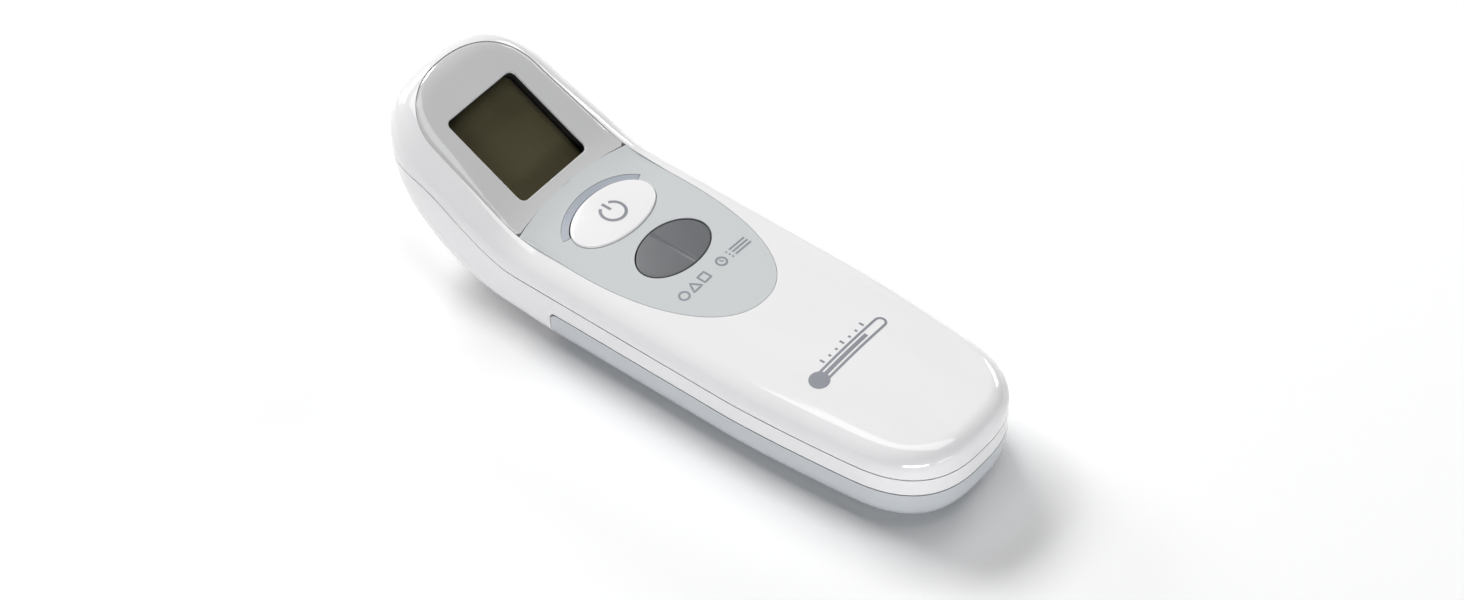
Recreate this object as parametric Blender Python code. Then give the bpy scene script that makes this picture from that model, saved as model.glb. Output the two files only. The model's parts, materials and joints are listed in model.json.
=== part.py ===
"""Digital ear thermometer: a flat handle whose display head tilts up, with the ear probe under the head.

All shapes are drawn in millimetres in the design frame, whose origin is the centre of the power button on
the handle's top plane, with +Y toward the head and +Z up. OFFSET then puts the part's own origin under the
middle of the whole object, on the surface that it lies on.
"""

import math

import bmesh
import bpy
from mathutils import Matrix, Vector

MM = 0.001

# Outside of the body
HALF_WIDTH = 21.5
THICKNESS = 20.5
TAIL_Y = -92.4
HEAD_Y = 49.3
CREASE_Y = 12.54
HEAD_SLOPE = 0.514
CROWN_RADIUS = 141.0
CREASE_BLEND = 6.0
TAIL_TAPER = (-45.0, 0.20, 1.5)
HEAD_TAPER = (27.0, 0.935, 0.25)
TAIL_ROUND = (18.9, 2.75)
HEAD_ROUND = (18.7, 2.78)
TOP_EDGE = ((5.0, 4.0), (30.0, 8.0))
BOTTOM_EDGE = ((0.0, 7.0), (35.0, 10.25), (44.0, 10.25), (HEAD_Y, 7.6))
UNDERSIDE_RISE = (12.1, 0.0168)

# Walls, gaps and partings
WALL = 1.8
COVER_WALL = 1.3
GAP = 0.3
SEAM_LOW, SEAM_HIGH = -6.4, 4.6
SEAM_RISE = (8.0, 38.0)
COVER_EDGE_Z = -10.8
COVER_FRONT_Y = -1.0
COVER_CORNER = 1.6
DECK_TOP = -8.7
BULKHEAD = 1.7

# Controls on the handle
PANEL_HALF_WIDTH = 16.8
PANEL_STRAIGHT_Y = -4.0
PANEL_TIP_Y = -38.7
PANEL_POWER = 2.2
PANEL_BOTTOM = -2.0
PANEL_FLOOR = -2.3
CEILING = -3.4
POWER_SEMI = (11.1, 6.45)
POWER_DOME = 0.5
POWER_TRAVEL_FLANGE = (12.3, 7.6)
LIGHT_SEMI = (12.9, 8.3)
LIGHT_INNER = (11.4, 6.75)
LIGHT_ENDS = 16.0
ROCKER_Y = -15.5
ROCKER_SEMI = (9.2, 6.1)
ROCKER_PIVOT_Z = -4.5
KEY_STEM_BOTTOM = -4.95

# Display, in the head face's own frame: x, s up the slope, h out of the face
BEZEL_BOTTOM = -1.9
BEZEL_HALF_WIDTH = (16.8, 15.9)
BEZEL_SHOULDER_S = 22.2
BEZEL_TOP_S = 36.1
BEZEL_LOW_S = 0.4
BEZEL_FLOOR = -2.2
HEAD_CEILING = -3.3
WINDOW_HALF_WIDTH = 10.05
WINDOW_S = (2.8, 25.25)
WINDOW_CORNER = 1.4
LCD_HALF_WIDTH = 10.9
LCD_S = (1.95, 26.1)
PANE = (-2.8, -2.2)
LCD = (-4.9, -3.1)
BACKLIGHT = (-6.3, -5.2)
LCD_FRAME = (-6.8, -3.6)
LCD_FRAME_BORDER = 2.4
DISPLAY_BOARD = (-8.1, -7.1)

# Electronics
BOARD_TOP = -6.2
BOARD_THICKNESS = 1.0
BOARD_HALF_WIDTH = 12.4
BOARD_Y = (-33.5, 10.5)
SCREW_X = 15.2
SCREW_YS = (-22.0, -62.0)
BOSS_RADIUS = 2.4
BOARD_SCREW = (9.5, -29.0)
BOARD_BOSS_RADIUS = 2.0
SCREW_HOLE = 1.4
BOARD_SCREW_HOLE = 1.2
SCREW_RECESS = 0.5
FLEX_THICKNESS = 0.2

# Batteries
CELL_RADIUS = 5.25
CELL_X = 5.5
CELL_Z = -13.9
CELL_Y = (-80.4, -35.9)
CELL_NUB = 1.0
TRAY_Y = (-84.5, -32.0)
TRAY_HALF_WIDTH = 11.9
TRAY_WALL = 0.8
TRAY_FLOOR = (-8.4, -7.6)
TRAY_BOTTOM = -16.5
CONTACT = 0.4

# Probe, in its own frame: t along the axis, out of the head
PROBE_EXIT = (0.0, 39.5, -7.0)
PROBE_DROP = 40.0
PROBE_LENGTH = 14.0
PROBE_TIP_RADIUS = 3.9
PROBE_TIP_CHAMFER = 0.3
PROBE_BASE_RADIUS = 7.0
COLLAR_RADIUS = 8.8

FRONT_Y = (
    PROBE_EXIT[1]
    + PROBE_LENGTH * math.cos(math.radians(PROBE_DROP))
    + (PROBE_TIP_RADIUS - PROBE_TIP_CHAMFER) * math.sin(math.radians(PROBE_DROP))
)
OFFSET = Vector((0.0, -(TAIL_Y + FRONT_Y) / 2, THICKNESS))
TILT = math.atan(HEAD_SLOPE)
HEAD_FRAME = Matrix.Translation((0.0, CREASE_Y, 0.0)) @ Matrix.Rotation(TILT, 4, "X")
PROBE_FRAME = Matrix.Translation(PROBE_EXIT) @ Matrix.Rotation(-math.radians(90.0 + PROBE_DROP), 4, "X")
ROUND_STEPS = 24

# Reach of cutters and blocks that have to pass right through or beyond the body
BEYOND_SIDE = 40.0
BEYOND_TAIL = -110.0


def clear_scene():
    for obj in list(bpy.data.objects):
        bpy.data.objects.remove(obj)


def between(value, points):
    """Straight-line interpolation through (place, amount) points, constant beyond the ends."""
    if value <= points[0][0]:
        return points[0][1]
    for (a, low), (b, high) in zip(points, points[1:]):
        if value <= b:
            return low + (high - low) * (value - a) / (b - a)
    return points[-1][1]


def superellipse(u, power):
    return max(0.0, 1.0 - min(max(u, 0.0), 1.0) ** power) ** (1.0 / power)


# ---- the body's outside as formulas ----


def half_width(y):
    start, loss, power = TAIL_TAPER
    taper = 1.0 - loss * (max(0.0, start - y) / (start - TAIL_Y)) ** power
    start, least, softness = HEAD_TAPER
    u = (y - start) / (HEAD_Y - start)
    taper *= 1.0 - (1.0 - least) * (u + math.hypot(u, softness)) / 2.0
    tail = superellipse((TAIL_Y + TAIL_ROUND[0] - y) / TAIL_ROUND[0], TAIL_ROUND[1])
    head = superellipse((y - HEAD_Y + HEAD_ROUND[0]) / HEAD_ROUND[0], HEAD_ROUND[1])
    return HALF_WIDTH * taper * tail * head


def crown(x):
    return x * x / (2.0 * CROWN_RADIUS)


def top_height(x, y, blend=CREASE_BLEND):
    """The crowned handle top, which turns through a concave fillet into the flat head face."""
    t = y - CREASE_Y + crown(x) / HEAD_SLOPE
    if t <= -blend:
        rise = 0.0
    elif t >= blend:
        rise = HEAD_SLOPE * t
    else:
        rise = HEAD_SLOPE * (t + blend) ** 2 / (4.0 * blend)
    return rise - crown(x)


def bottom_height(y):
    return -THICKNESS + UNDERSIDE_RISE[1] * max(0.0, y - UNDERSIDE_RISE[0]) ** 2


def seam_height(y):
    t = min(max((y - SEAM_RISE[0]) / (SEAM_RISE[1] - SEAM_RISE[0]), 0.0), 1.0)
    return SEAM_LOW + (SEAM_HIGH - SEAM_LOW) * t * t * (3.0 - 2.0 * t)


def station_places(end_steps=9):
    """Places along Y for the body's sections, close together at the round ends and at the crease."""
    quarter = [i * math.pi / 2 / end_steps for i in range(end_steps + 1)]
    tail_start = TAIL_Y + TAIL_ROUND[0]
    head_start = HEAD_Y - HEAD_ROUND[0]
    places = [tail_start - TAIL_ROUND[0] * math.cos(a) ** (2.0 / TAIL_ROUND[1]) for a in quarter]
    places += [-64.0, -54.0, -44.0, -24.0, -5.0]
    places += [CREASE_Y + CREASE_BLEND * (i / 3.0) for i in range(-4, 4)]
    places += [24.5]
    places += [head_start + HEAD_ROUND[0] * math.sin(a) ** (2.0 / HEAD_ROUND[1]) for a in quarter]
    return places


def body_sections(inset):
    """Closed sections of the body, inset from its skin. Each has a chord over the top and one underneath."""
    places = station_places()
    outline = [Vector((half_width(y), y)) for y in places]
    sections = []
    for i, point in enumerate(outline):
        before = outline[i - 1] if i else Vector((-outline[1].x, outline[1].y))
        after = outline[i + 1] if i + 1 < len(outline) else Vector((-outline[-2].x, outline[-2].y))
        along = after - before
        outward = Vector((along.y, -along.x)).normalized()
        top_radius = between(point.y, TOP_EDGE) - inset
        low_radius = between(point.y, BOTTOM_EDGE) - inset
        side = []
        for j in range(5):
            a = j * math.pi / 8
            spot = point - outward * (inset + top_radius * (1.0 - math.sin(a)))
            drop = inset + top_radius * (1.0 - math.cos(a))
            side.append((spot.x, spot.y, top_height(spot.x, spot.y) - drop))
        for j in range(5):
            a = j * math.pi / 8
            spot = point - outward * (inset + low_radius * (1.0 - math.cos(a)))
            lift = inset + low_radius * (1.0 - math.sin(a))
            side.append((spot.x, spot.y, bottom_height(spot.y) + lift))
        top_x, top_y, _ = side[0]
        low_x, low_y, low_z = side[-1]
        loop = [Vector((0.0, top_y, top_height(0.0, top_y) - inset))]
        for j in (1, 2):
            x = top_x * j / 3.0
            loop.append(Vector((x, top_y, top_height(x, top_y) - inset)))
        loop += [Vector(p) for p in side]
        loop.append(Vector((0.0, low_y, low_z)))
        left = [Vector((-p.x, p.y, p.z)) for p in reversed(loop[1:-1])]
        sections.append(loop + left)
    return sections


def loft(sections):
    mesh = bmesh.new()
    rings = [[mesh.verts.new(p) for p in section] for section in sections]
    count = len(rings[0])
    for ring, following in zip(rings, rings[1:]):
        for j in range(count):
            mesh.faces.new((ring[j], following[j], following[(j + 1) % count], ring[(j + 1) % count]))
    bmesh.ops.remove_doubles(mesh, verts=mesh.verts, dist=0.001)
    bmesh.ops.recalc_face_normals(mesh, faces=mesh.faces)
    return mesh


def body(inset=0.0):
    return loft(body_sections(inset))


# ---- outlines and basic shapes ----


def ellipse(semi, centre=(0.0, 0.0), steps=40, start=0.0, end=360.0):
    closed = end - start >= 360.0
    count = steps if closed else steps + 1
    angles = [math.radians(start + (end - start) * i / steps) for i in range(count)]
    return [(centre[0] + semi[0] * math.cos(a), centre[1] + semi[1] * math.sin(a)) for a in angles]


def rounded_rectangle(half_x, low_y, high_y, radius, steps=4):
    points = []
    corners = ((half_x, high_y, 0), (-half_x, high_y, 90), (-half_x, low_y, 180), (half_x, low_y, 270))
    for x, y, turn in corners:
        cx = x - math.copysign(radius, x)
        cy = y - radius if y == high_y else y + radius
        for i in range(steps + 1):
            a = math.radians(turn + 90.0 * i / steps)
            points.append((cx + radius * math.cos(a), cy + radius * math.sin(a)))
    return points


def both_sides(right):
    """A closed outline from its right half, given from the low end to the high end on x = 0."""
    return right + [(-x, y) for x, y in reversed(right) if x > 0.01]


def panel_outline(grow=0.0, crease_gap=GAP):
    length = PANEL_STRAIGHT_Y - PANEL_TIP_Y + grow
    right = []
    for i in range(13):
        a = i * math.pi / 24
        x = (PANEL_HALF_WIDTH + grow) * math.sin(a) ** (2.0 / PANEL_POWER)
        y = PANEL_STRAIGHT_Y - length * math.cos(a) ** (2.0 / PANEL_POWER)
        right.append((x, y))
    for i in range(5):
        x = (PANEL_HALF_WIDTH + grow) * (1.0 - i / 4.0)
        right.append((x, CREASE_Y - crown(x) / HEAD_SLOPE - crease_gap))
    return both_sides(right)


def bezel_outline(grow=0.0):
    low, high = BEZEL_HALF_WIDTH
    length = BEZEL_TOP_S - BEZEL_SHOULDER_S + grow
    right = []
    for i in range(5):
        x = (low + grow) * i / 4.0
        right.append((x, BEZEL_LOW_S - crown(x) / HEAD_SLOPE * math.cos(TILT) - grow))
    for i in range(9):
        a = i * math.pi / 16
        x = (high + grow) * math.cos(a) ** (2.0 / PANEL_POWER)
        right.append((x, BEZEL_SHOULDER_S + length * math.sin(a) ** (2.0 / PANEL_POWER)))
    return both_sides(right)


def prism(outline, low, high):
    """An upright prism. low and high are heights, or functions of x and y."""
    mesh = bmesh.new()
    rings = []
    for level in (low, high):
        ring = []
        for x, y in outline:
            z = level(x, y) if callable(level) else level
            ring.append(mesh.verts.new((x, y, z)))
        rings.append(ring)
    bottom, top = rings
    mesh.faces.new(list(reversed(bottom)))
    mesh.faces.new(top)
    for i in range(len(outline)):
        j = (i + 1) % len(outline)
        mesh.faces.new((bottom[i], bottom[j], top[j], top[i]))
    return mesh


def side_prism(outline, half_x, centre_x=0.0):
    """A prism along X. The outline holds (y, z) points."""
    mesh = bmesh.new()
    low = [mesh.verts.new((centre_x - half_x, y, z)) for y, z in outline]
    high = [mesh.verts.new((centre_x + half_x, y, z)) for y, z in outline]
    mesh.faces.new(list(reversed(low)))
    mesh.faces.new(high)
    for i in range(len(outline)):
        j = (i + 1) % len(outline)
        mesh.faces.new((low[i], low[j], high[j], high[i]))
    bmesh.ops.recalc_face_normals(mesh, faces=mesh.faces)
    return mesh


def box(low, high):
    outline = [(low[0], low[1]), (high[0], low[1]), (high[0], high[1]), (low[0], high[1])]
    return prism(outline, low[2], high[2])


def domed_key(outline, centre, low, height, rings=4):
    """A key with an upright wall and a softly domed top, whose height is a function of x and y."""
    mesh = bmesh.new()
    cx, cy = centre
    loops = [[mesh.verts.new((x, y, low)) for x, y in outline]]
    for i in range(rings):
        scale = math.cos(i * math.pi / 2 / rings)
        drop = 0.5 * (1.0 - math.sin(math.pi / 4 + i * math.pi / 4 / rings))
        spots = [(cx + (x - cx) * scale, cy + (y - cy) * scale) for x, y in outline]
        loops.append([mesh.verts.new((x, y, height(x, y) - drop)) for x, y in spots])
    mesh.faces.new(list(reversed(loops[0])))
    for lower, upper in zip(loops, loops[1:]):
        for i in range(len(outline)):
            j = (i + 1) % len(outline)
            mesh.faces.new((lower[i], lower[j], upper[j], upper[i]))
    top = mesh.verts.new((cx, cy, height(cx, cy)))
    for i in range(len(outline)):
        mesh.faces.new((loops[-1][i], loops[-1][(i + 1) % len(outline)], top))
    return mesh


def turned(profile, steps=ROUND_STEPS):
    """A solid turned about Z from a closed (radius, height) profile. Radius 0 is the axis itself."""
    mesh = bmesh.new()
    rings = []
    for radius, height in profile:
        if radius == 0.0:
            rings.append([mesh.verts.new((0.0, 0.0, height))] * steps)
            continue
        angles = [2.0 * math.pi * i / steps for i in range(steps)]
        rings.append([mesh.verts.new((radius * math.cos(a), radius * math.sin(a), height)) for a in angles])
    for k in range(len(rings)):
        ring, following = rings[k], rings[(k + 1) % len(rings)]
        for i in range(steps):
            j = (i + 1) % steps
            corners = []
            for vert in (ring[i], ring[j], following[j], following[i]):
                if vert not in corners:
                    corners.append(vert)
            if len(corners) > 2:
                mesh.faces.new(corners)
    bmesh.ops.recalc_face_normals(mesh, faces=mesh.faces)
    return mesh


def cylinder(radius, low, high, steps=ROUND_STEPS):
    return turned([(0.0, low), (radius, low), (radius, high), (0.0, high)], steps)


def ring(outer, inner, low, high, steps=ROUND_STEPS):
    return turned([(outer, low), (outer, high), (inner, high), (inner, low)], steps)


def torus(major, minor, height, steps=ROUND_STEPS, sides=8):
    angles = [2.0 * math.pi * i / sides for i in range(sides)]
    return turned([(major + minor * math.cos(a), height + minor * math.sin(a)) for a in angles], steps)


def ribbon(points, thickness, half_x):
    """A thin strip, wide along X, that follows (y, z) points."""
    upper, lower = [], []
    for i, point in enumerate(points):
        before = Vector(points[max(i - 1, 0)])
        after = Vector(points[min(i + 1, len(points) - 1)])
        along = (after - before).normalized()
        across = Vector((-along.y, along.x)) * thickness / 2
        upper.append(Vector(point) + across)
        lower.append(Vector(point) - across)
    return side_prism([tuple(p) for p in upper + list(reversed(lower))], half_x)


def placed(mesh, matrix):
    bmesh.ops.transform(mesh, matrix=matrix, verts=mesh.verts)
    return mesh


def at(x, y, z=0.0):
    return Matrix.Translation((x, y, z))


# ---- objects ----


def material(name, colour, roughness, metallic=0.0, alpha=1.0):
    made = bpy.data.materials.new(name)
    made.use_nodes = True
    shader = made.node_tree.nodes["Principled BSDF"]
    shader.inputs["Base Color"].default_value = (*colour, 1.0)
    shader.inputs["Roughness"].default_value = roughness
    shader.inputs["Metallic"].default_value = metallic
    shader.inputs["Alpha"].default_value = alpha
    made.diffuse_color = (*colour, alpha)
    return made


def add(name, mesh, look, pivot=(0.0, 0.0, 0.0)):
    """Makes an object from a design-frame mesh in millimetres, with its origin at the pivot."""
    pivot = Vector(pivot)
    bmesh.ops.translate(mesh, vec=-pivot, verts=mesh.verts)
    bmesh.ops.scale(mesh, vec=(MM, MM, MM), verts=mesh.verts)
    data = bpy.data.meshes.new(name)
    mesh.to_mesh(data)
    mesh.free()
    data.shade_smooth()
    data.set_sharp_from_angle(angle=math.radians(35.0))
    obj = bpy.data.objects.new(name, data)
    bpy.context.scene.collection.objects.link(obj)
    obj.location = (pivot + OFFSET) * MM
    if look:
        data.materials.append(material(name, *look))
    return obj


def cutter(name, mesh):
    obj = add(name, mesh, None)
    obj.hide_render = True
    obj.display_type = "WIRE"
    return obj


def boolean(obj, other, operation="DIFFERENCE"):
    modifier = obj.modifiers.new(other.name, "BOOLEAN")
    modifier.operation = operation
    modifier.object = other
    modifier.solver = "EXACT"
    return obj


def cut(obj, name, mesh):
    return boolean(obj, cutter(name, mesh))


def join(obj, name, mesh):
    return boolean(obj, cutter(name, mesh), "UNION")


WHITE = ((0.84, 0.84, 0.85), 0.18)
PALE_GREY = ((0.60, 0.64, 0.65), 0.38)
BEZEL_GREY = ((0.48, 0.49, 0.50), 0.15)
DARK_GREY = ((0.17, 0.18, 0.19), 0.42)
COVER_GREY = ((0.45, 0.47, 0.50), 0.5)
LIGHT_GREY_BLUE = ((0.36, 0.40, 0.45), 0.3)
GREEN_BOARD = ((0.02, 0.16, 0.06), 0.5)
BLACK = ((0.02, 0.02, 0.02), 0.5)
STEEL = ((0.60, 0.60, 0.62), 0.28, 1.0)
NICKEL = ((0.72, 0.70, 0.66), 0.25, 1.0)
GOLD = ((0.85, 0.62, 0.25), 0.2, 1.0)
COPPER_FILM = ((0.60, 0.32, 0.10), 0.4)
CLEAR = ((0.9, 0.92, 0.9), 0.05, 0.0, 0.3)


# ---- shells ----


def below_seam(margin):
    """Everything under the parting surface, or over it when margin is negative."""
    away = -60.0 if margin > 0 else 60.0
    ys = [TAIL_Y - 5.0] + [SEAM_RISE[0] + (SEAM_RISE[1] - SEAM_RISE[0]) * i / 14 for i in range(15)]
    ys.append(FRONT_Y + 5.0)
    outline = [(y, seam_height(y) + margin) for y in ys]
    return side_prism(outline + [(ys[-1], away), (ys[0], away)], BEYOND_SIDE)


def screw_places():
    return [(side * SCREW_X, y) for y in SCREW_YS for side in (-1, 1)]


def make_front_shell():
    shell = add("front_shell", body(), WHITE)
    cavity = cutter("front_cavity", body(WALL))
    cut(cavity, "panel_ledge", box((-19.0, -41.0, CEILING), (19.0, CREASE_Y, 5.0)))
    ledge = box((-19.0, -3.0, HEAD_CEILING), (19.0, BEZEL_TOP_S + 1.0, 8.0))
    cut(cavity, "head_ledge", placed(ledge, HEAD_FRAME))
    for i, (x, y) in enumerate(screw_places()):
        boss = cylinder(BOSS_RADIUS, DECK_TOP + GAP, 3.0, 16)
        cut(cavity, f"boss_{i}", placed(boss, at(x, y)))
    for side in (-1, 1):
        boss = cylinder(BOARD_BOSS_RADIUS, BOARD_TOP + GAP, 3.0, 12)
        cut(cavity, f"board_boss_{side}", placed(boss, at(side * BOARD_SCREW[0], BOARD_SCREW[1])))
    boolean(shell, cavity)
    cut(shell, "front_parting", below_seam(GAP / 2))
    cut(shell, "panel_pocket", prism(panel_outline(0.2, -0.4), PANEL_FLOOR, 4.0))
    cut(shell, "bezel_pocket", placed(prism(bezel_outline(0.2), BEZEL_FLOOR, 6.0), HEAD_FRAME))
    opening = rounded_rectangle(LCD_HALF_WIDTH + GAP, LCD_S[0] - GAP, LCD_S[1] + GAP, 1.0, 2)
    cut(shell, "display_opening", placed(prism(opening, -6.0, 1.0), HEAD_FRAME))
    cut(shell, "power_opening", prism(power_hole(), -6.0, 2.0))
    cut(shell, "rocker_opening", prism(rocker_hole(), -6.0, 2.0))
    for i, (x, y) in enumerate(screw_places()):
        cut(shell, f"boss_hole_{i}", placed(cylinder(SCREW_HOLE, -12.0, -4.2, 10), at(x, y)))
    for side in (-1, 1):
        hole = placed(cylinder(BOARD_SCREW_HOLE, -8.0, -4.2, 10), at(side * BOARD_SCREW[0], BOARD_SCREW[1]))
        cut(shell, f"board_boss_hole_{side}", hole)


def make_rear_shell():
    shell = add("rear_shell", body(), WHITE)
    cavity = cutter("rear_cavity", body(WALL))
    solid_low = box((-BEYOND_SIDE, BEYOND_TAIL, -40.0), (BEYOND_SIDE, COVER_FRONT_Y + BULKHEAD, DECK_TOP))
    cut(cavity, "deck", solid_low)
    boolean(shell, cavity)
    cut(shell, "rear_parting", below_seam(-GAP / 2))
    cut(shell, "cover_space", side_prism(cover_side(0.0, BEYOND_TAIL), BEYOND_SIDE))
    low, high = TRAY_Y
    half = TRAY_HALF_WIDTH + GAP
    tray_hole = box((-half, low - GAP, -20.0), (half, high + GAP, -5.0))
    cut(shell, "tray_hole", tray_hole)
    for i, (x, y) in enumerate(screw_places()):
        cut(shell, f"deck_hole_{i}", placed(cylinder(SCREW_HOLE, -14.0, -6.0, 10), at(x, y)))
    bore = cylinder(COLLAR_RADIUS + GAP, -5.0, 8.0, 32)
    cut(shell, "probe_bore", placed(bore, PROBE_FRAME))


def cover_side(shrink, far_y):
    """Side view of the space that the battery cover fills, with its top front corner rounded."""
    top = COVER_EDGE_Z + GAP / 2 - shrink
    front = COVER_FRONT_Y + GAP / 2 - shrink
    radius = COVER_CORNER
    corner = []
    for i in range(5):
        a = i * math.pi / 8
        corner.append((front - radius + radius * math.cos(a), top - radius + radius * math.sin(a)))
    return [(far_y, -40.0), (front, -40.0)] + corner + [(far_y, top)]


def make_battery_cover():
    cover = add("battery_cover", body(), COVER_GREY)
    keep = cutter("cover_block", side_prism(cover_side(GAP, BEYOND_TAIL), BEYOND_SIDE))
    boolean(cover, keep, "INTERSECT")
    cut(cover, "cover_cavity", body(COVER_WALL))


# ---- controls ----


def power_hole():
    """The power button's hole with the light arc's slot on its head side, as one outline."""
    button = (POWER_SEMI[0] + 0.3, POWER_SEMI[1] + 0.3)
    slot = (LIGHT_SEMI[0] + 0.25, LIGHT_SEMI[1] + 0.25)
    start = LIGHT_ENDS - 2.0
    upper = ellipse(slot, steps=20, start=start, end=180.0 - start)
    return upper + ellipse(button, steps=24, start=180.0 - start, end=360.0 + start)


def rocker_hole():
    return ellipse((ROCKER_SEMI[0] + 0.4, ROCKER_SEMI[1] + 0.35), (0.0, ROCKER_Y), 32)


def handle_top(x, y):
    return -crown(x)


def make_keypad_panel():
    panel = add("keypad_panel", prism(panel_outline(), PANEL_BOTTOM, 3.0), PALE_GREY)
    boolean(panel, cutter("panel_skin", body()), "INTERSECT")
    cut(panel, "panel_power_opening", prism(power_hole(), -6.0, 2.0))
    cut(panel, "panel_rocker_opening", prism(rocker_hole(), -6.0, 2.0))


def make_power_button():
    key = domed_key(
        ellipse(POWER_SEMI, steps=32), (0.0, 0.0), -4.2, lambda x, y: handle_top(x, y) + POWER_DOME
    )
    button = add("power_button", key, WHITE, (0.0, 0.0, 0.0))
    flange = [(x, min(y, 3.0)) for x, y in ellipse(POWER_TRAVEL_FLANGE, steps=28)]
    join(button, "power_flange", prism(flange, -4.5, -3.75))
    join(button, "power_stem", cylinder(1.8, KEY_STEM_BOTTOM, -4.0, 12))


def make_rocker():
    def height(x, y):
        ridge = 0.12 * (1.0 - abs(x) / ROCKER_SEMI[0])
        return handle_top(x, y) - 0.1 + ridge

    key = domed_key(ellipse(ROCKER_SEMI, (0.0, ROCKER_Y), 32), (0.0, ROCKER_Y), -4.6, height)
    rocker = add("mode_memory_rocker", key, DARK_GREY, (0.0, ROCKER_Y, ROCKER_PIVOT_Z))
    flange = ellipse((ROCKER_SEMI[0] + 0.9, ROCKER_SEMI[1] + 0.9), (0.0, ROCKER_Y), 28)
    join(rocker, "rocker_flange", prism(flange, -4.8, -4.2))
    for side in (-1, 1):
        stem = placed(cylinder(1.3, KEY_STEM_BOTTOM, -4.5, 10), at(side * 5.5, ROCKER_Y))
        join(rocker, f"rocker_stem_{side}", stem)


def make_light_guide():
    outer = ellipse(LIGHT_SEMI, steps=20, start=LIGHT_ENDS, end=180.0 - LIGHT_ENDS)
    inner = ellipse(LIGHT_INNER, steps=20, start=180.0 - LIGHT_ENDS, end=LIGHT_ENDS)
    band = prism(outer + inner, -3.5, lambda x, y: handle_top(x, y) - 0.1)
    add("fever_light_guide", band, LIGHT_GREY_BLUE)


def make_snap_dome(name, x, y, radius):
    profile = [(radius, 0.05), (radius, 0.2), (radius * 0.72, 0.62), (radius * 0.35, 0.95), (0.0, 0.95)]
    profile += [(0.0, 0.8), (radius * 0.33, 0.8), (radius * 0.66, 0.48), (radius * 0.9, 0.05)]
    add(name, placed(turned(profile, 16), at(x, y, BOARD_TOP)), STEEL)


# ---- display ----


def in_head(name, mesh, look):
    return add(name, placed(mesh, HEAD_FRAME), look)


def make_display():
    bezel = in_head("display_bezel", prism(bezel_outline(), BEZEL_BOTTOM, 3.0), BEZEL_GREY)
    boolean(bezel, cutter("bezel_skin", body()), "INTERSECT")
    opening = rounded_rectangle(WINDOW_HALF_WIDTH, *WINDOW_S, WINDOW_CORNER)
    cut(bezel, "bezel_opening", placed(prism(opening, -4.0, 4.0), HEAD_FRAME))
    pane = rounded_rectangle(LCD_HALF_WIDTH, *LCD_S, 0.8, 2)
    in_head("display_window", prism(pane, *PANE), CLEAR)
    in_head("lcd_glass", prism(pane, *LCD), ((0.06, 0.055, 0.03), 0.25))
    in_head("lcd_backlight", prism(pane, *BACKLIGHT), ((0.75, 0.8, 0.7), 0.5))
    low, high = LCD_S
    half = LCD_HALF_WIDTH + LCD_FRAME_BORDER
    outer = rounded_rectangle(half, low - LCD_FRAME_BORDER, high + LCD_FRAME_BORDER, 1.0, 2)
    frame = in_head("lcd_frame", prism(outer, *LCD_FRAME), BLACK)
    inner = rounded_rectangle(LCD_HALF_WIDTH + GAP, LCD_S[0] - GAP, LCD_S[1] + GAP, 1.0, 2)
    cut(frame, "lcd_frame_opening", placed(prism(inner, -8.0, 0.0), HEAD_FRAME))
    board = rounded_rectangle(half - 0.2, low - LCD_FRAME_BORDER, high + LCD_FRAME_BORDER, 1.0, 2)
    in_head("display_board", prism(board, *DISPLAY_BOARD), GREEN_BOARD)


# ---- electronics ----


def make_main_board():
    outline = rounded_rectangle(BOARD_HALF_WIDTH, *BOARD_Y, 2.0, 3)
    board = add("main_board", prism(outline, BOARD_TOP - BOARD_THICKNESS, BOARD_TOP), GREEN_BOARD)
    for side in (-1, 1):
        hole = placed(cylinder(BOARD_SCREW_HOLE, -9.0, -5.0, 10), at(side * BOARD_SCREW[0], BOARD_SCREW[1]))
        cut(board, f"board_hole_{side}", hole)


def make_electronics():
    make_main_board()
    make_snap_dome("power_snap_dome", 0.0, 0.0, 3.2)
    make_snap_dome("mode_snap_dome", -5.5, ROCKER_Y, 2.4)
    make_snap_dome("memory_snap_dome", 5.5, ROCKER_Y, 2.4)
    under = BOARD_TOP - BOARD_THICKNESS - 0.1
    for name, side in (("fever_led_left", -1), ("fever_led_right", 1)):
        led = box((side * 7.0 - 0.9, 5.6, BOARD_TOP + 0.1), (side * 7.0 + 0.9, 7.2, BOARD_TOP + 1.1))
        add(name, led, ((0.8, 0.75, 0.5), 0.3))
    add("processor_chip", box((-4.0, -17.0, under - 1.0), (4.0, -9.0, under)), BLACK)
    crystal = rounded_rectangle(1.4, -3.0, 3.0, 1.2, 3)
    add("crystal_can", placed(prism(crystal, under - 1.2, under), at(8.0, -13.0)), STEEL)
    buzzer = [(0.0, -11.4), (6.0, -11.4), (6.0, -9.4), (1.5, -9.4), (1.5, -9.9), (0.0, -9.9)]
    add("piezo_buzzer", placed(turned(buzzer), at(0.0, 9.0)), BLACK)
    edge = HEAD_FRAME @ Vector((0.0, 1.2, DISPLAY_BOARD[0] - 0.2))
    bend = [(edge.y, edge.z), (14.4, -8.3), (11.8, -8.6), (9.6, -7.7), (7.0, under - 0.15)]
    add("display_flex", ribbon(bend, FLEX_THICKNESS, 5.0), COPPER_FILM)


def make_screw(name, x, y, head_z, head, length, shank_radius):
    """A screw that points up, with a round recess in its head and a blunt point."""
    head_radius, head_height = head
    low = head_z - head_height
    recess = head_radius * 0.35
    profile = [(0.0, low + SCREW_RECESS), (recess, low + SCREW_RECESS), (recess, low), (head_radius * 0.8, low)]
    profile += [(head_radius, low + head_height * 0.4), (head_radius, head_z), (shank_radius, head_z)]
    end = head_z + length
    profile += [(shank_radius, end - 0.6), (shank_radius * 0.5, end), (0.0, end)]
    add(name, placed(turned(profile, 12), at(x, y)), STEEL)


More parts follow.
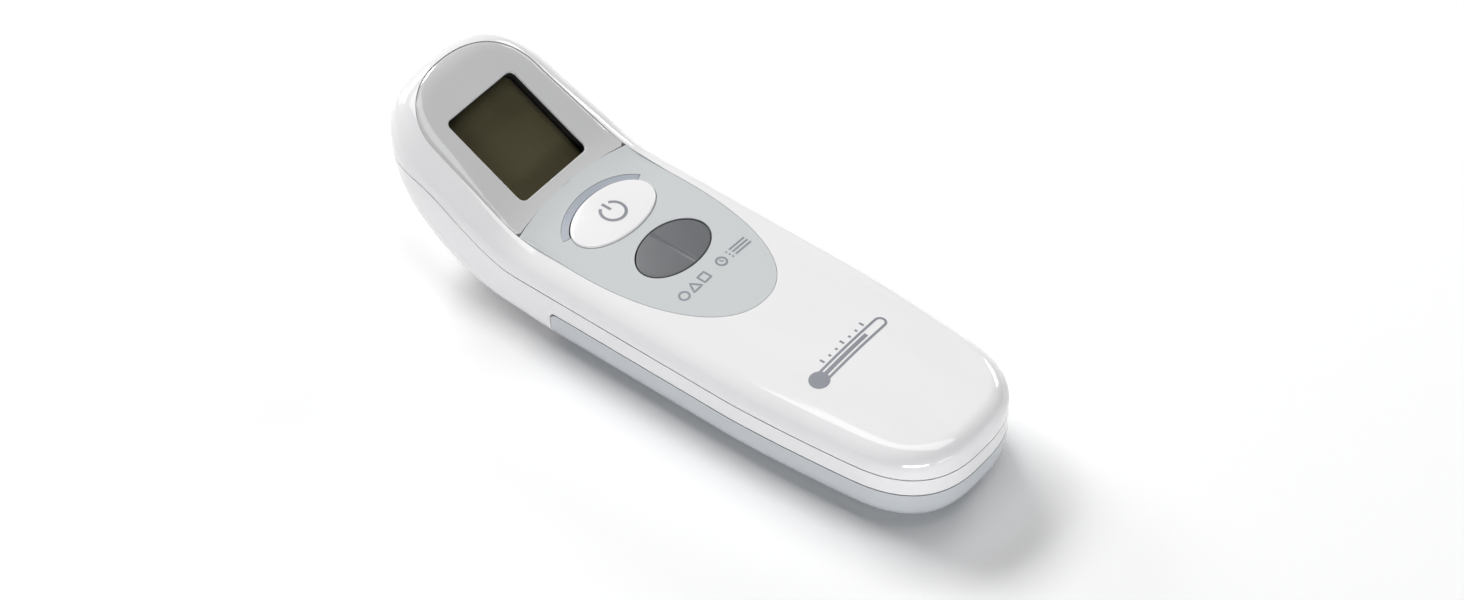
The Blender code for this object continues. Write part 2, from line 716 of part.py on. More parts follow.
def make_screws():
    for i, (x, y) in enumerate(screw_places()):
        make_screw(f"housing_screw_{i + 1}", x, y, COVER_EDGE_Z - 0.15, (2.2, 1.4), 6.3, 1.0)
    for name, side in (("board_screw_left", -1), ("board_screw_right", 1)):
        make_screw(name, side * BOARD_SCREW[0], BOARD_SCREW[1], -7.5, (1.8, 0.9), 2.9, 0.85)


# ---- batteries ----


def make_tray():
    low, high = TRAY_Y
    wide = TRAY_HALF_WIDTH + 0.6
    plate = box((-wide, low, TRAY_FLOOR[0]), (wide, high, TRAY_FLOOR[1]))
    tray = add("battery_tray", plate, BLACK)
    walls = box((-TRAY_HALF_WIDTH, low + 0.1, TRAY_BOTTOM), (TRAY_HALF_WIDTH, high - 0.1, -8.0))
    bay_x = TRAY_HALF_WIDTH - TRAY_WALL
    join(tray, "tray_walls", walls)
    bay = box((-bay_x, low + 0.1 + TRAY_WALL, -30.0), (bay_x, high - 0.1 - TRAY_WALL, TRAY_FLOOR[0]))
    cut(tray, "tray_bay", bay)


def make_cell(name, x, nub_forward):
    low, high = CELL_Y
    length = high - low - CELL_NUB
    r = CELL_RADIUS
    profile = [(0.0, 0.0), (r - 0.5, 0.0), (r, 0.5), (r, length - 0.5), (r - 0.5, length)]
    profile += [(1.9, length), (1.9, length + CELL_NUB), (0.0, length + CELL_NUB)]
    turn = Matrix.Rotation(math.radians(-90.0 if nub_forward else 90.0), 4, "X")
    start = low if nub_forward else high
    add(name, placed(turned(profile, 20), at(x, start, CELL_Z) @ turn), ((0.12, 0.30, 0.45), 0.35, 0.3))


def make_spring(name, x, start_y, end_y):
    """A conical battery spring: a round wire on a helix about Y."""
    turns, per_turn, sides, wire = 3, 12, 6, 0.3
    count = turns * per_turn
    mesh = bmesh.new()
    rings = []
    for i in range(count + 1):
        t = i / count
        a = 2.0 * math.pi * turns * t
        radius = 3.3 - 1.0 * t
        outward = Vector((math.cos(a), 0.0, math.sin(a)))
        y = start_y + (end_y - start_y) * t
        centre = Vector((x, y, CELL_Z)) + outward * radius
        corners = []
        for j in range(sides):
            b = 2.0 * math.pi * j / sides
            offset = outward * math.cos(b) + Vector((0.0, math.sin(b), 0.0))
            corners.append(mesh.verts.new(centre + offset * wire))
        rings.append(corners)
    for ring_a, ring_b in zip(rings, rings[1:]):
        for j in range(sides):
            k = (j + 1) % sides
            mesh.faces.new((ring_a[j], ring_a[k], ring_b[k], ring_b[j]))
    mesh.faces.new(rings[0])
    mesh.faces.new(rings[-1])
    bmesh.ops.recalc_face_normals(mesh, faces=mesh.faces)
    add(name, mesh, NICKEL)


def contact_plate(name, low_x, high_x, y, towards, bump_x):
    """A sheet contact across the bay, with a raised button for a cell's positive end."""
    plate = add(name, box((low_x, y, -17.0), (high_x, y + CONTACT, -9.4)), NICKEL)
    if bump_x is not None:
        bump = turned([(0.0, -0.2), (2.0, -0.2), (1.5, 1.9), (0.0, 1.9)], 12)
        turn = Matrix.Rotation(math.radians(-90.0 * towards), 4, "X")
        join(plate, f"{name}_button", placed(bump, at(bump_x, y + CONTACT / 2, CELL_Z) @ turn))


def make_batteries():
    make_tray()
    make_cell("battery_cell_left", -CELL_X, True)
    make_cell("battery_cell_right", CELL_X, False)
    tail_y = TRAY_Y[0] + 0.1 + TRAY_WALL + GAP
    head_y = TRAY_Y[1] - 0.1 - TRAY_WALL - GAP - CONTACT
    contact_plate("bridge_contact", -10.5, 10.5, tail_y, 1, CELL_X)
    contact_plate("positive_contact", -10.5, -0.6, head_y, -1, -CELL_X)
    contact_plate("negative_contact", 0.6, 10.5, head_y, -1, None)
    make_spring("bridge_spring", -CELL_X, tail_y + CONTACT + 0.4, CELL_Y[0] - 0.6)
    make_spring("negative_spring", CELL_X, head_y - 0.4, CELL_Y[1] + 0.6)


# ---- probe ----


def in_probe(name, mesh, look):
    return add(name, placed(mesh, PROBE_FRAME), look)


def probe_radius(t):
    """Outer radius of the cone, which flares in a gentle curve from tip to base."""
    u = min(max(t / (PROBE_LENGTH - 0.9), 0.0), 1.0)
    return PROBE_TIP_RADIUS + (PROBE_BASE_RADIUS - PROBE_TIP_RADIUS) * (1.0 - u) ** 1.5


def make_probe():
    r = COLLAR_RADIUS
    collar = [(r, -2.4), (r, 0.8), (r - 0.3, 1.3), (r - 0.8, 1.5), (7.6, 1.3), (7.35, 0.9), (7.35, -2.4)]
    in_probe("probe_collar", turned(collar, 32), COVER_GREY)
    outside = [(probe_radius(t), t) for t in (0.0, 1.5, 3.0, 5.0, 7.0, 9.0, 11.0, 13.1)]
    cone = [(8.3, -4.8), (8.3, -3.95), (PROBE_BASE_RADIUS, -3.95)] + outside
    cone += [(3.1, 13.1), (3.1, 1.0), (5.6, 0.2), (5.6, -4.8)]
    in_probe("probe_cone", turned(cone, 32), WHITE)
    make_tip_ring()
    in_probe("probe_window", cylinder(2.7, 12.6, 13.0), ((0.03, 0.03, 0.04), 0.1))
    in_probe("wave_guide_tube", ring(2.6, 2.2, -1.0, 12.3), GOLD)
    can = [(0.0, -4.3), (3.1, -4.3), (3.1, -3.9), (2.7, -3.8), (2.7, -1.5), (2.4, -1.3), (0.0, -1.3)]
    in_probe("thermopile_sensor", turned(can), NICKEL)
    in_probe("sensor_holder", ring(5.3, 3.4, -4.6, -0.4), ((0.7, 0.5, 0.2), 0.35, 1.0))
    in_probe("probe_seal", torus(7.8, 0.5, -3.2), BLACK)
    in_probe("sensor_board", cylinder(6.4, -6.1, -5.1), GREEN_BOARD)
    start = PROBE_FRAME @ Vector((0.0, 0.0, -6.35))
    end = HEAD_FRAME @ Vector((0.0, 22.0, DISPLAY_BOARD[0] - 0.25))
    middle = (start + end) / 2
    bend = [(start.y, start.z), (middle.y - 0.3, middle.z - 0.8), (end.y, end.z)]
    add("sensor_flex", ribbon(bend, FLEX_THICKNESS, 2.5), COPPER_FILM)


def make_tip_ring():
    """A small chamfered ring that closes the cone's tip round the window."""
    outer, inner, chamfer = PROBE_TIP_RADIUS, 2.9, PROBE_TIP_CHAMFER
    back, face = PROBE_LENGTH - 0.6, PROBE_LENGTH
    profile = [(outer, back), (outer, face - chamfer), (outer - chamfer, face)]
    profile += [(inner + chamfer, face), (inner, face - chamfer), (inner, back)]
    in_probe("probe_tip_ring", turned(profile), LIGHT_GREY_BLUE)


def main():
    clear_scene()
    make_front_shell()
    make_rear_shell()
    make_battery_cover()
    make_keypad_panel()
    make_power_button()
    make_rocker()
    make_light_guide()
    make_display()
    make_electronics()
    make_screws()
    make_batteries()
    make_probe()


main()
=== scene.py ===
import json
import math

import bmesh
import bpy
from mathutils import Matrix, Vector
from mathutils.bvhtree import BVHTree
from mathutils.interpolate import poly_3d_calc


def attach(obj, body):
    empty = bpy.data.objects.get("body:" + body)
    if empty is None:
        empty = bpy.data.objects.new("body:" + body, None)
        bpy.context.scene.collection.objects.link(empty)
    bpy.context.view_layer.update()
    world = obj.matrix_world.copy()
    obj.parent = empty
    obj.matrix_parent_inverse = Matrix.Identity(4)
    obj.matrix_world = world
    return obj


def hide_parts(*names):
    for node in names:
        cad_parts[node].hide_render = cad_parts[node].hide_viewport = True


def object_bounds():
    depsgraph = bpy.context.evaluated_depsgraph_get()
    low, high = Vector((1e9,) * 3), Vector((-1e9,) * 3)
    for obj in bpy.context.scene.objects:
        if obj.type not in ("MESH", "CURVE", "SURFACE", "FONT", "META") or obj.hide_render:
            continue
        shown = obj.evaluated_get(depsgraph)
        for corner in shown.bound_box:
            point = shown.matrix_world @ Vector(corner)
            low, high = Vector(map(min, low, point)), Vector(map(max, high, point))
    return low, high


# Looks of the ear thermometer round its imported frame. Shapes are drawn in millimetres in the design frame,
# whose origin is the centre of the power button on the handle's top plane, with +Y toward the head.

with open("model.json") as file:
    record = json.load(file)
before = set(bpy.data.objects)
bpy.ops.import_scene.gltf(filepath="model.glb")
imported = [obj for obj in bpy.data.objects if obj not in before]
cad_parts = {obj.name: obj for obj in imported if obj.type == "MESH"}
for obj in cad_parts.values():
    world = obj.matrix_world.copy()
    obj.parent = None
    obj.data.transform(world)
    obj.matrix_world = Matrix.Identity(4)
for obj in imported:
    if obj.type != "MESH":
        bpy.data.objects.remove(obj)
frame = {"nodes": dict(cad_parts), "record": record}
CAD_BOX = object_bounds()
MM = 0.001

# Outside of the body. The tapers start at their first number, the rounds are (length, power), the edges are
# (y, radius) points, and the underside rises from its first number on.
HALF_WIDTH = 21.5
THICKNESS = 20.5
TAIL_Y = -92.4
HEAD_Y = 49.3
CREASE_Y = 12.54
HEAD_SLOPE = 0.514
CROWN_RADIUS = 141.0
CREASE_BLEND = 6.0
TAIL_TAPER = (-45.0, 0.20, 1.5)
HEAD_TAPER = (27.0, 0.935, 0.25)
TAIL_ROUND = (18.9, 2.75)
HEAD_ROUND = (18.7, 2.78)
TOP_EDGE = ((5.0, 4.0), (30.0, 8.0))
BOTTOM_EDGE = ((0.0, 7.0), (35.0, 10.25), (44.0, 10.25), (HEAD_Y, 7.6))
UNDERSIDE_RISE = (12.1, 0.0168)

# Walls, gaps and partings. The seam climbs between the two places of SEAM_RISE.
WALL = 1.8
COVER_WALL = 1.3
GAP = 0.3
SEAM_LOW, SEAM_HIGH = -6.4, 4.6
SEAM_RISE = (8.0, 38.0)
COVER_EDGE_Z = -10.8
COVER_FRONT_Y = -1.0
COVER_CORNER = 1.6
DECK_TOP = -8.7
BULKHEAD = 1.7
TRAY_OPENING = ((-12.2, -84.8, -20.0), (12.2, -31.7, -5.0))
SCREW_X = 15.2
SCREW_YS = (-22.0, -62.0)
SCREW_HOLE = 1.4
BEYOND_SIDE = 40.0
BEYOND_TAIL = 120.0

# Thumb grooves in the cover's underside: the first one's place, the step between them, their half widths
# at the middle and how fast those shrink, and half a groove's length along Y
GROOVES = 6
GROOVE_START = -13.0
GROOVE_STEP = 2.2
GROOVE_HALF_WIDTH = 8.5
GROOVE_SHRINK = 0.9
GROOVE_HALF_LENGTH = 0.5
GROOVE_DEPTH = 0.35

# Controls on the handle. Ellipses are (half x, half y), and RIB is (half width, height).
PANEL_HALF_WIDTH = 16.8
PANEL_STRAIGHT_Y = -4.0
PANEL_TIP_Y = -38.7
PANEL_POWER = 2.2
PANEL_BOTTOM = -2.0
PANEL_FLOOR = -2.3
PANEL_GAP = 0.07
CEILING = -3.4
CEILING_BOX = ((-19.0, -41.0, CEILING), (19.0, CREASE_Y, 5.0))
POWER_SEMI = (11.1, 6.45)
POWER_DOME = 0.5
POWER_FALL = 0.5
POWER_HOLE_GAP = 0.13
POWER_LOW = -4.2
POWER_EDGE = 0.35
POWER_FLANGE = (12.3, 7.6)
POWER_FLANGE_END = 3.0
POWER_FLANGE_Z = (-4.5, -3.75)
POWER_STEM_RADIUS = 1.8
LIGHT_SEMI = (12.95, 8.35)
LIGHT_INNER = (11.35, 6.72)
LIGHT_ENDS = 21.0
LIGHT_SLOT_GAP = 0.05
LIGHT_SLOT_END = 0.7
LIGHT_BOTTOM = -3.5
LIGHT_SET_BACK = 0.04
ROCKER_Y = -15.5
ROCKER_SEMI = (9.2, 6.1)
ROCKER_HOLE_GAP = (0.28, 0.22)
ROCKER_BOTTOM = -4.6
ROCKER_EDGE = 0.3
ROCKER_FLANGE = 0.9
ROCKER_FLANGE_Z = (-4.8, -4.2)
ROCKER_STEM_X = 5.5
ROCKER_STEM_RADIUS = 1.3
ROCKER_LOW = 0.15
RIDGE = 0.14
RIB = (0.16, 0.10)
KEY_STEM_BOTTOM = -4.95
KEY_CUT = (-6.0, 2.0)

# Display, in the head face's own frame: x, s up the slope, h out of the face. Pairs are (low, high), and the
# bezel's half widths are at the crease and at its shoulder.
BEZEL_BOTTOM = -1.9
BEZEL_FLOOR = -2.2
BEZEL_LOW_S = 0.05
BEZEL_HALF_WIDTH = (16.8, 15.9)
BEZEL_SHOULDER_S = 22.2
BEZEL_TOP_S = 36.1
HEAD_CEILING = -3.3
WINDOW_HALF_WIDTH = 10.05
WINDOW_S = (2.8, 25.25)
WINDOW_CORNER = 1.4
LCD_HALF_WIDTH = 10.9
LCD_S = (1.95, 26.1)
BEZEL_UNDERCUT = 0.5
LENS_EDGE = 0.5
LOW_EDGE_LEAN = 1.3
PANE = (-2.8, -2.2)
LCD = (-4.9, -3.1)
PLATE_EDGE = 0.1
SHROUD_INNER = 0.12
SHROUD_OUTER = 0.44
SHROUD_TOP = -0.55

# Printed marks
MARK_RISE = 0.03
POWER_MARK_RADIUS = 2.62
POWER_MARK_WIDTH = 0.68
KEY_MARK_Y = -25.5
KEY_MARK_WIDTH = 0.46
LIST_STEP = 0.88
SCALE_MARK_Y = -60.0
SCALE_MARK_X = (-9.2, 10.6)
SCALE_MARK_HALF = 1.15
SCALE_TICKS = 7

# Probe, in its own frame: t along the axis, out of the head
PROBE_EXIT = (0.0, 39.5, -7.0)
PROBE_DROP = 40.0
PROBE_LENGTH = 14.0
PROBE_TIP_RADIUS = 3.9
PROBE_BASE_RADIUS = 7.0
COLLAR_RADIUS = 8.8
CONE_LENGTH = 13.1

# Camera and light, in metres and degrees
LENS = 101.8
SENSOR_WIDTH = 36.0
CAMERA_AZIMUTH = -51.64
CAMERA_ELEVATION = 46.68
CAMERA_DISTANCE = 0.8156
CAMERA_AIM = (-4.13, -33.71, 0.0)
FLOOR_HALF_SIZE = 1.3
LIGHT_DISTANCE = 2.5
WHITE = (1.0, 1.0, 1.0)
COOL = (0.96, 0.975, 1.0)
SOFTBOXES = (  # name, azimuth, elevation, size in metres, power in watts, colour
    ("head_softbox", 14.0, 42.0, (1.6, 0.7), 51.0, WHITE),
    ("low_head_light", 2.0, 22.0, (0.7, 0.5), 12.5, WHITE),
    ("overhead_softbox", 90.0, 80.7, (2.1, 1.05), 23.0, WHITE),
    ("front_fill", 228.0, 7.0, (1.4, 0.5), 30.0, COOL),
    ("tail_fill", 190.0, 6.0, (1.0, 0.35), 5.0, WHITE),
    ("side_light", 84.0, 24.0, (0.8, 0.5), 11.0, WHITE),
)
AMBIENT = ((0.90, 0.93, 1.0), 0.03)

OFFSET = Vector((0.0, CAD_BOX[0].y / MM - TAIL_Y, THICKNESS))
TO_PART = Matrix.Scale(MM, 4) @ Matrix.Translation(OFFSET)
TILT = math.atan(HEAD_SLOPE)
HEAD_FRAME = Matrix.Translation((0.0, CREASE_Y, 0.0)) @ Matrix.Rotation(TILT, 4, "X")
PROBE_FRAME = Matrix.Translation(PROBE_EXIT) @ Matrix.Rotation(-math.radians(90.0 + PROBE_DROP), 4, "X")


# ---- camera ----


def make_camera():
    data = bpy.data.cameras.new("camera")
    data.lens = LENS
    data.sensor_width = SENSOR_WIDTH
    camera = bpy.data.objects.new("camera", data)
    bpy.context.scene.collection.objects.link(camera)
    turn, rise = math.radians(CAMERA_AZIMUTH), math.radians(CAMERA_ELEVATION)
    back = Vector((math.sin(turn) * math.cos(rise), -math.cos(turn) * math.cos(rise), math.sin(rise)))
    camera.location = TO_PART @ Vector(CAMERA_AIM) + back * CAMERA_DISTANCE
    camera.rotation_euler = back.to_track_quat("Z", "Y").to_euler()
    bpy.context.scene.camera = camera


# ---- the body's outside as formulas ----


def between(value, points):
    """Straight-line interpolation through (place, amount) points, constant beyond the ends."""
    if value <= points[0][0]:
        return points[0][1]
    for (a, low), (b, high) in zip(points, points[1:]):
        if value <= b:
            return low + (high - low) * (value - a) / (b - a)
    return points[-1][1]


def smooth_step(t):
    t = min(max(t, 0.0), 1.0)
    return t * t * (3.0 - 2.0 * t)


def superellipse(u, power):
    return max(0.0, 1.0 - min(max(u, 0.0), 1.0) ** power) ** (1.0 / power)


def half_width(y):
    start, loss, power = TAIL_TAPER
    taper = 1.0 - loss * (max(0.0, start - y) / (start - TAIL_Y)) ** power
    start, least, softness = HEAD_TAPER
    u = (y - start) / (HEAD_Y - start)
    taper *= 1.0 - (1.0 - least) * (u + math.hypot(u, softness)) / 2.0
    tail = superellipse((TAIL_Y + TAIL_ROUND[0] - y) / TAIL_ROUND[0], TAIL_ROUND[1])
    head = superellipse((y - HEAD_Y + HEAD_ROUND[0]) / HEAD_ROUND[0], HEAD_ROUND[1])
    return HALF_WIDTH * taper * tail * head


def crown(x):
    return x * x / (2.0 * CROWN_RADIUS)


def top_height(x, y):
    """The crowned handle top, which turns through a concave fillet into the flat head face."""
    t = y - CREASE_Y + crown(x) / HEAD_SLOPE
    if t <= -CREASE_BLEND:
        rise = 0.0
    elif t >= CREASE_BLEND:
        rise = HEAD_SLOPE * t
    else:
        rise = HEAD_SLOPE * (t + CREASE_BLEND) ** 2 / (4.0 * CREASE_BLEND)
    return rise - crown(x)


def bottom_height(y):
    return -THICKNESS + UNDERSIDE_RISE[1] * max(0.0, y - UNDERSIDE_RISE[0]) ** 2


def seam_height(y):
    return SEAM_LOW + (SEAM_HIGH - SEAM_LOW) * smooth_step((y - SEAM_RISE[0]) / (SEAM_RISE[1] - SEAM_RISE[0]))


def station_places(end_steps, spacing):
    """Places along Y for the body's sections, close together at the round ends."""
    quarter = [i * math.pi / 2 / end_steps for i in range(end_steps + 1)]
    tail_start = TAIL_Y + TAIL_ROUND[0]
    head_start = HEAD_Y - HEAD_ROUND[0]
    places = [tail_start - TAIL_ROUND[0] * math.cos(a) ** (2.0 / TAIL_ROUND[1]) for a in quarter]
    count = round((head_start - tail_start) / spacing)
    places += [tail_start + (head_start - tail_start) * i / count for i in range(1, count)]
    places += [head_start + HEAD_ROUND[0] * math.sin(a) ** (2.0 / HEAD_ROUND[1]) for a in quarter]
    return places


FINE = {"end_steps": 36, "spacing": 1.0, "chord": 12, "edge": 14, "side": 3, "belly": 5}
COARSE = {"end_steps": 9, "spacing": 5.0, "chord": 3, "edge": 4, "side": 1, "belly": 1}


def body(inset=0.0, detail=FINE):
    """The body's closed surface, inset from its skin: a loft of sections that stand square to its outline."""
    outline = [Vector((half_width(y), y)) for y in station_places(detail["end_steps"], detail["spacing"])]
    ends = [Vector((-outline[1].x, outline[1].y)), Vector((-outline[-2].x, outline[-2].y))]
    path = ends[:1] + outline + ends[1:]
    sections = []
    for before, point, after in zip(path, path[1:], path[2:]):
        along = after - before
        outward = Vector((along.y, -along.x)).normalized()
        top_radius = between(point.y, TOP_EDGE) - inset
        low_radius = between(point.y, BOTTOM_EDGE) - inset
        upper, lower = [], []
        for j in range(detail["edge"] + 1):
            a = j * math.pi / 2 / detail["edge"]
            spot = point - outward * (inset + top_radius * (1.0 - math.sin(a)))
            drop = inset + top_radius * (1.0 - math.cos(a))
            upper.append(Vector((spot.x, spot.y, top_height(spot.x, spot.y) - drop)))
            spot = point - outward * (inset + low_radius * (1.0 - math.cos(a)))
            lift = inset + low_radius * (1.0 - math.sin(a))
            lower.append(Vector((spot.x, spot.y, bottom_height(spot.y) + lift)))
        inner, outer = upper[0], lower[-1]
        half = []
        for j in range(detail["chord"]):
            x = inner.x * j / detail["chord"]
            half.append(Vector((x, inner.y, top_height(x, inner.y) - inset)))
        half += upper
        half += [upper[-1].lerp(lower[0], j / (detail["side"] + 1)) for j in range(1, detail["side"] + 1)]
        half += lower
        for j in range(1, detail["belly"] + 1):
            half.append(Vector((outer.x * (1.0 - j / detail["belly"]), outer.y, outer.z)))
        sections.append(half + [Vector((-p.x, p.y, p.z)) for p in reversed(half[1:-1])])
    return loft(sections, merge=0.001)


# ---- meshes ----


def loft(rings, closed=False, caps=False, merge=None):
    """Joins rings of the same number of points with quads."""
    mesh = bmesh.new()
    rows = [[mesh.verts.new(p) for p in ring] for ring in rings]
    count = len(rows[0])
    pairs = list(zip(rows, rows[1:]))
    if closed:
        pairs.append((rows[-1], rows[0]))
    for row, following in pairs:
        for j in range(count):
            mesh.faces.new((row[j], row[(j + 1) % count], following[(j + 1) % count], following[j]))
    if caps:
        mesh.faces.new(rows[0])
        mesh.faces.new(rows[-1])
    if merge:
        bmesh.ops.remove_doubles(mesh, verts=mesh.verts, dist=merge)
    bmesh.ops.recalc_face_normals(mesh, faces=mesh.faces)
    return mesh


def level(outline, height):
    """A ring of 3-D points over a flat outline. The height is a number or a function of x and y."""
    return [Vector((x, y, height(x, y) if callable(height) else height)) for x, y in outline]


def prism(outline, low, high):
    return loft([level(outline, low), level(outline, high)], caps=True)


def side_prism(outline, half_x):
    """A prism along X. The outline holds (y, z) points."""
    return loft([[Vector((side * half_x, y, z)) for y, z in outline] for side in (-1, 1)], caps=True)


def box(low, high):
    corners = [(low[0], low[1]), (high[0], low[1]), (high[0], high[1]), (low[0], high[1])]
    return prism(corners, low[2], high[2])


def turned(profile, steps=96):
    """A solid turned about Z from a closed (radius, height) profile. Radius 0 is the axis itself."""
    angles = [2.0 * math.pi * i / steps for i in range(steps)]
    rings = [[Vector((r * math.cos(a), r * math.sin(a), h)) for a in angles] for r, h in profile]
    return loft(rings, closed=True, merge=1e-5)


def rounded(corners, steps=4):
    """A (radius, height) profile whose corners, given as (radius, height, rounding), are turned into arcs."""
    points = []
    for i, (r, h, size) in enumerate(corners):
        spot = Vector((r, h))
        if not size:
            points.append((r, h))
            continue
        before = (Vector(corners[i - 1][:2]) - spot).normalized()
        after = (Vector(corners[(i + 1) % len(corners)][:2]) - spot).normalized()
        for j in range(steps + 1):
            t = j / steps
            p = spot + before * size * (1.0 - t) ** 2 + after * size * t ** 2
            points.append((p.x, p.y))
    return points


def cylinder(radius, low, high, steps=24):
    return turned([(0.0, low), (radius, low), (radius, high), (0.0, high)], steps)


def placed(mesh, matrix):
    bmesh.ops.transform(mesh, matrix=matrix, verts=mesh.verts)
    return mesh


def at(x, y, z=0.0):
    return Matrix.Translation((x, y, z))


def ellipse(semi, centre=(0.0, 0.0), steps=96, start=0.0, end=360.0):
    count = steps if end - start >= 360.0 else steps + 1
    angles = [math.radians(start + (end - start) * i / steps) for i in range(count)]
    return [(centre[0] + semi[0] * math.cos(a), centre[1] + semi[1] * math.sin(a)) for a in angles]


def rounded_rectangle(half_x, low_y, high_y, radius, steps=8, straight=1):
    """Counter-clockwise from the right side, with each straight side in the given number of parts."""
    arcs = []
    corners = ((half_x, high_y, 0), (-half_x, high_y, 90), (-half_x, low_y, 180), (half_x, low_y, 270))
    for x, y, turn in corners:
        cx = x - math.copysign(radius, x)
        cy = y - radius if y == high_y else y + radius
        angles = [math.radians(turn + 90.0 * i / steps) for i in range(steps + 1)]
        arcs.append([Vector((cx + radius * math.cos(a), cy + radius * math.sin(a))) for a in angles])
    points = []
    for arc, following in zip(arcs, arcs[1:] + arcs[:1]):
        points += arc
        points += [arc[-1].lerp(following[0], j / straight) for j in range(1, straight)]
    return [(p.x, p.y) for p in points]


def both_sides(right):
    """A closed outline from its right half, given from the low end to the high end on x = 0."""
    return right + [(-x, y) for x, y in reversed(right) if x > 0.01]


def shifted(outline, amount):
    """The outline moved outward by an amount, along its own normals."""
    count = len(outline)
    moved = []
    for i, (x, y) in enumerate(outline):
        along = Vector(outline[(i + 1) % count]) - Vector(outline[i - 1])
        out = Vector((along.y, -along.x)).normalized()
        moved.append((x + out.x * amount, y + out.y * amount))
    return moved


def panel_outline(grow=0.0, crease_gap=0.06, steps=40):
    length = PANEL_STRAIGHT_Y - PANEL_TIP_Y + grow
    right = []
    for i in range(steps + 1):
        a = i * math.pi / 2 / steps
        x = (PANEL_HALF_WIDTH + grow) * math.sin(a) ** (2.0 / PANEL_POWER)
        y = PANEL_STRAIGHT_Y - length * math.cos(a) ** (2.0 / PANEL_POWER)
        right.append((x, y))
    for i in range(17):
        x = (PANEL_HALF_WIDTH + grow) * (1.0 - i / 16.0)
        right.append((x, CREASE_Y - crown(x) / HEAD_SLOPE - crease_gap))
    return both_sides(right)


def bezel_outline(grow=0.0, steps=32):
    low, high = BEZEL_HALF_WIDTH
    length = BEZEL_TOP_S - BEZEL_SHOULDER_S + grow
    right = []
    for i in range(17):
        x = (low + grow) * i / 16.0
        right.append((x, BEZEL_LOW_S - crown(x) / HEAD_SLOPE * math.cos(TILT) - grow))
    for i in range(1, 12):
        t = i / 12.0
        right.append((low + grow + (high - low) * t, right[16][1] * (1.0 - t) + BEZEL_SHOULDER_S * t))
    for i in range(steps + 1):
        a = i * math.pi / 2 / steps
        x = (high + grow) * math.cos(a) ** (2.0 / PANEL_POWER)
        right.append((x, BEZEL_SHOULDER_S + length * math.sin(a) ** (2.0 / PANEL_POWER)))
    return both_sides(right)


# ---- solids ----


def solid(name, mesh):
    data = bpy.data.meshes.new(name)
    mesh.to_mesh(data)
    mesh.free()
    obj = bpy.data.objects.new(name, data)
    bpy.context.scene.collection.objects.link(obj)
    return obj


def carve(obj, *steps):
    """Runs the Booleans, given as (operation, mesh), and keeps the result as the object's own mesh."""
    helpers = []
    for operation, mesh in steps:
        helper = mesh if isinstance(mesh, bpy.types.Object) else solid("helper", mesh)
        modifier = obj.modifiers.new("carve", "BOOLEAN")
        modifier.operation = operation
        modifier.object = helper
        modifier.solver = "EXACT"
        helpers.append(helper)
    graph = bpy.context.evaluated_depsgraph_get()
    result = bpy.data.meshes.new_from_object(obj.evaluated_get(graph))
    obj.modifiers.clear()
    obj.data = result
    for helper in helpers:
        bpy.data.objects.remove(helper)
    return obj


def less(obj, *meshes):
    return carve(obj, *[("DIFFERENCE", mesh) for mesh in meshes])


class Skin:
    """The whole body's smooth outer surface, which gives heights and normals to the pieces that lie on it."""

    def __init__(self):
        self.mesh = body()
        self.mesh.normal_update()
        self.mesh.faces.ensure_lookup_table()
        self.tree = BVHTree.FromBMesh(self.mesh)

    def normal(self, spot, index):
        verts = self.mesh.faces[index].verts
        weights = poly_3d_calc([v.co for v in verts], spot)
        return sum((v.normal * w for v, w in zip(verts, weights)), Vector()).normalized()

    def height(self, x, y, frame_matrix=Matrix.Identity(4)):
        """Height of the skin over a point of a frame's own XY plane."""
        start = frame_matrix @ Vector((x, y, 12.0))
        down = -(frame_matrix.to_3x3() @ Vector((0.0, 0.0, 1.0)))
        spot = self.tree.ray_cast(start, down)[0]
        return (frame_matrix.inverted() @ spot).z

    def shade(self, data, reach=0.06):
        """Gives each corner of a mesh that lies on the skin the skin's own normal."""
        near = []
        for vert in data.vertices:
            spot, _, index, distance = self.tree.find_nearest(vert.co)
            near.append(self.normal(spot, index) if distance < reach else None)
        normals = []
        for polygon in data.polygons:
            for i in polygon.loop_indices:
                found = near[data.loops[i].vertex_index]
                normals.append(found if found and found.dot(polygon.normal) > 0.96 else Vector())
        data.normals_split_custom_set(normals)


SKIN = Skin()


def piece(obj, ridden, look, slot, *nodes, on_skin=False, sharp=32.0):
    """Finishes an object drawn in the design frame: shading, place, material, body, replaced nodes. The slot
    argument is not used.
    """
    data = obj.data
    data.shade_smooth()
    data.set_sharp_from_angle(angle=math.radians(sharp))
    if on_skin:
        SKIN.shade(data)
    data.transform(TO_PART)
    data.materials.clear()
    data.materials.append(look)
    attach(obj, ridden)
    if nodes:
        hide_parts(*nodes)
    return obj


# ---- materials ----


def new_material(name):
    made = bpy.data.materials.new(name)
    made.use_nodes = True
    nodes, links = made.node_tree.nodes, made.node_tree.links
    return made, nodes, links, nodes["Principled BSDF"]


def noise(nodes, links, scale, detail=2.0, stretch=None):
    """A noise texture in the piece's own coordinates, with scale in bumps per metre."""
    place = nodes.new("ShaderNodeTexCoord")
    texture = nodes.new("ShaderNodeTexNoise")
    texture.inputs["Scale"].default_value = scale
    texture.inputs["Detail"].default_value = detail
    source = place.outputs["Object"]
    if stretch:
        mapping = nodes.new("ShaderNodeMapping")
        mapping.inputs["Scale"].default_value = stretch
        links.new(source, mapping.inputs["Vector"])
        source = mapping.outputs["Vector"]
    links.new(source, texture.inputs["Vector"])
    return texture.outputs["Fac"]


def ramp(nodes, links, source, stops):
    made = nodes.new("ShaderNodeValToRGB")
    elements = made.color_ramp.elements
    for element, (place, colour) in zip((elements[0], elements[1]), (stops[0], stops[-1])):
        element.position = place
        element.color = (*colour, 1.0)
    for place, colour in stops[1:-1]:
        elements.new(place).color = (*colour, 1.0)
    links.new(source, made.inputs["Fac"])
    return made.outputs["Color"]


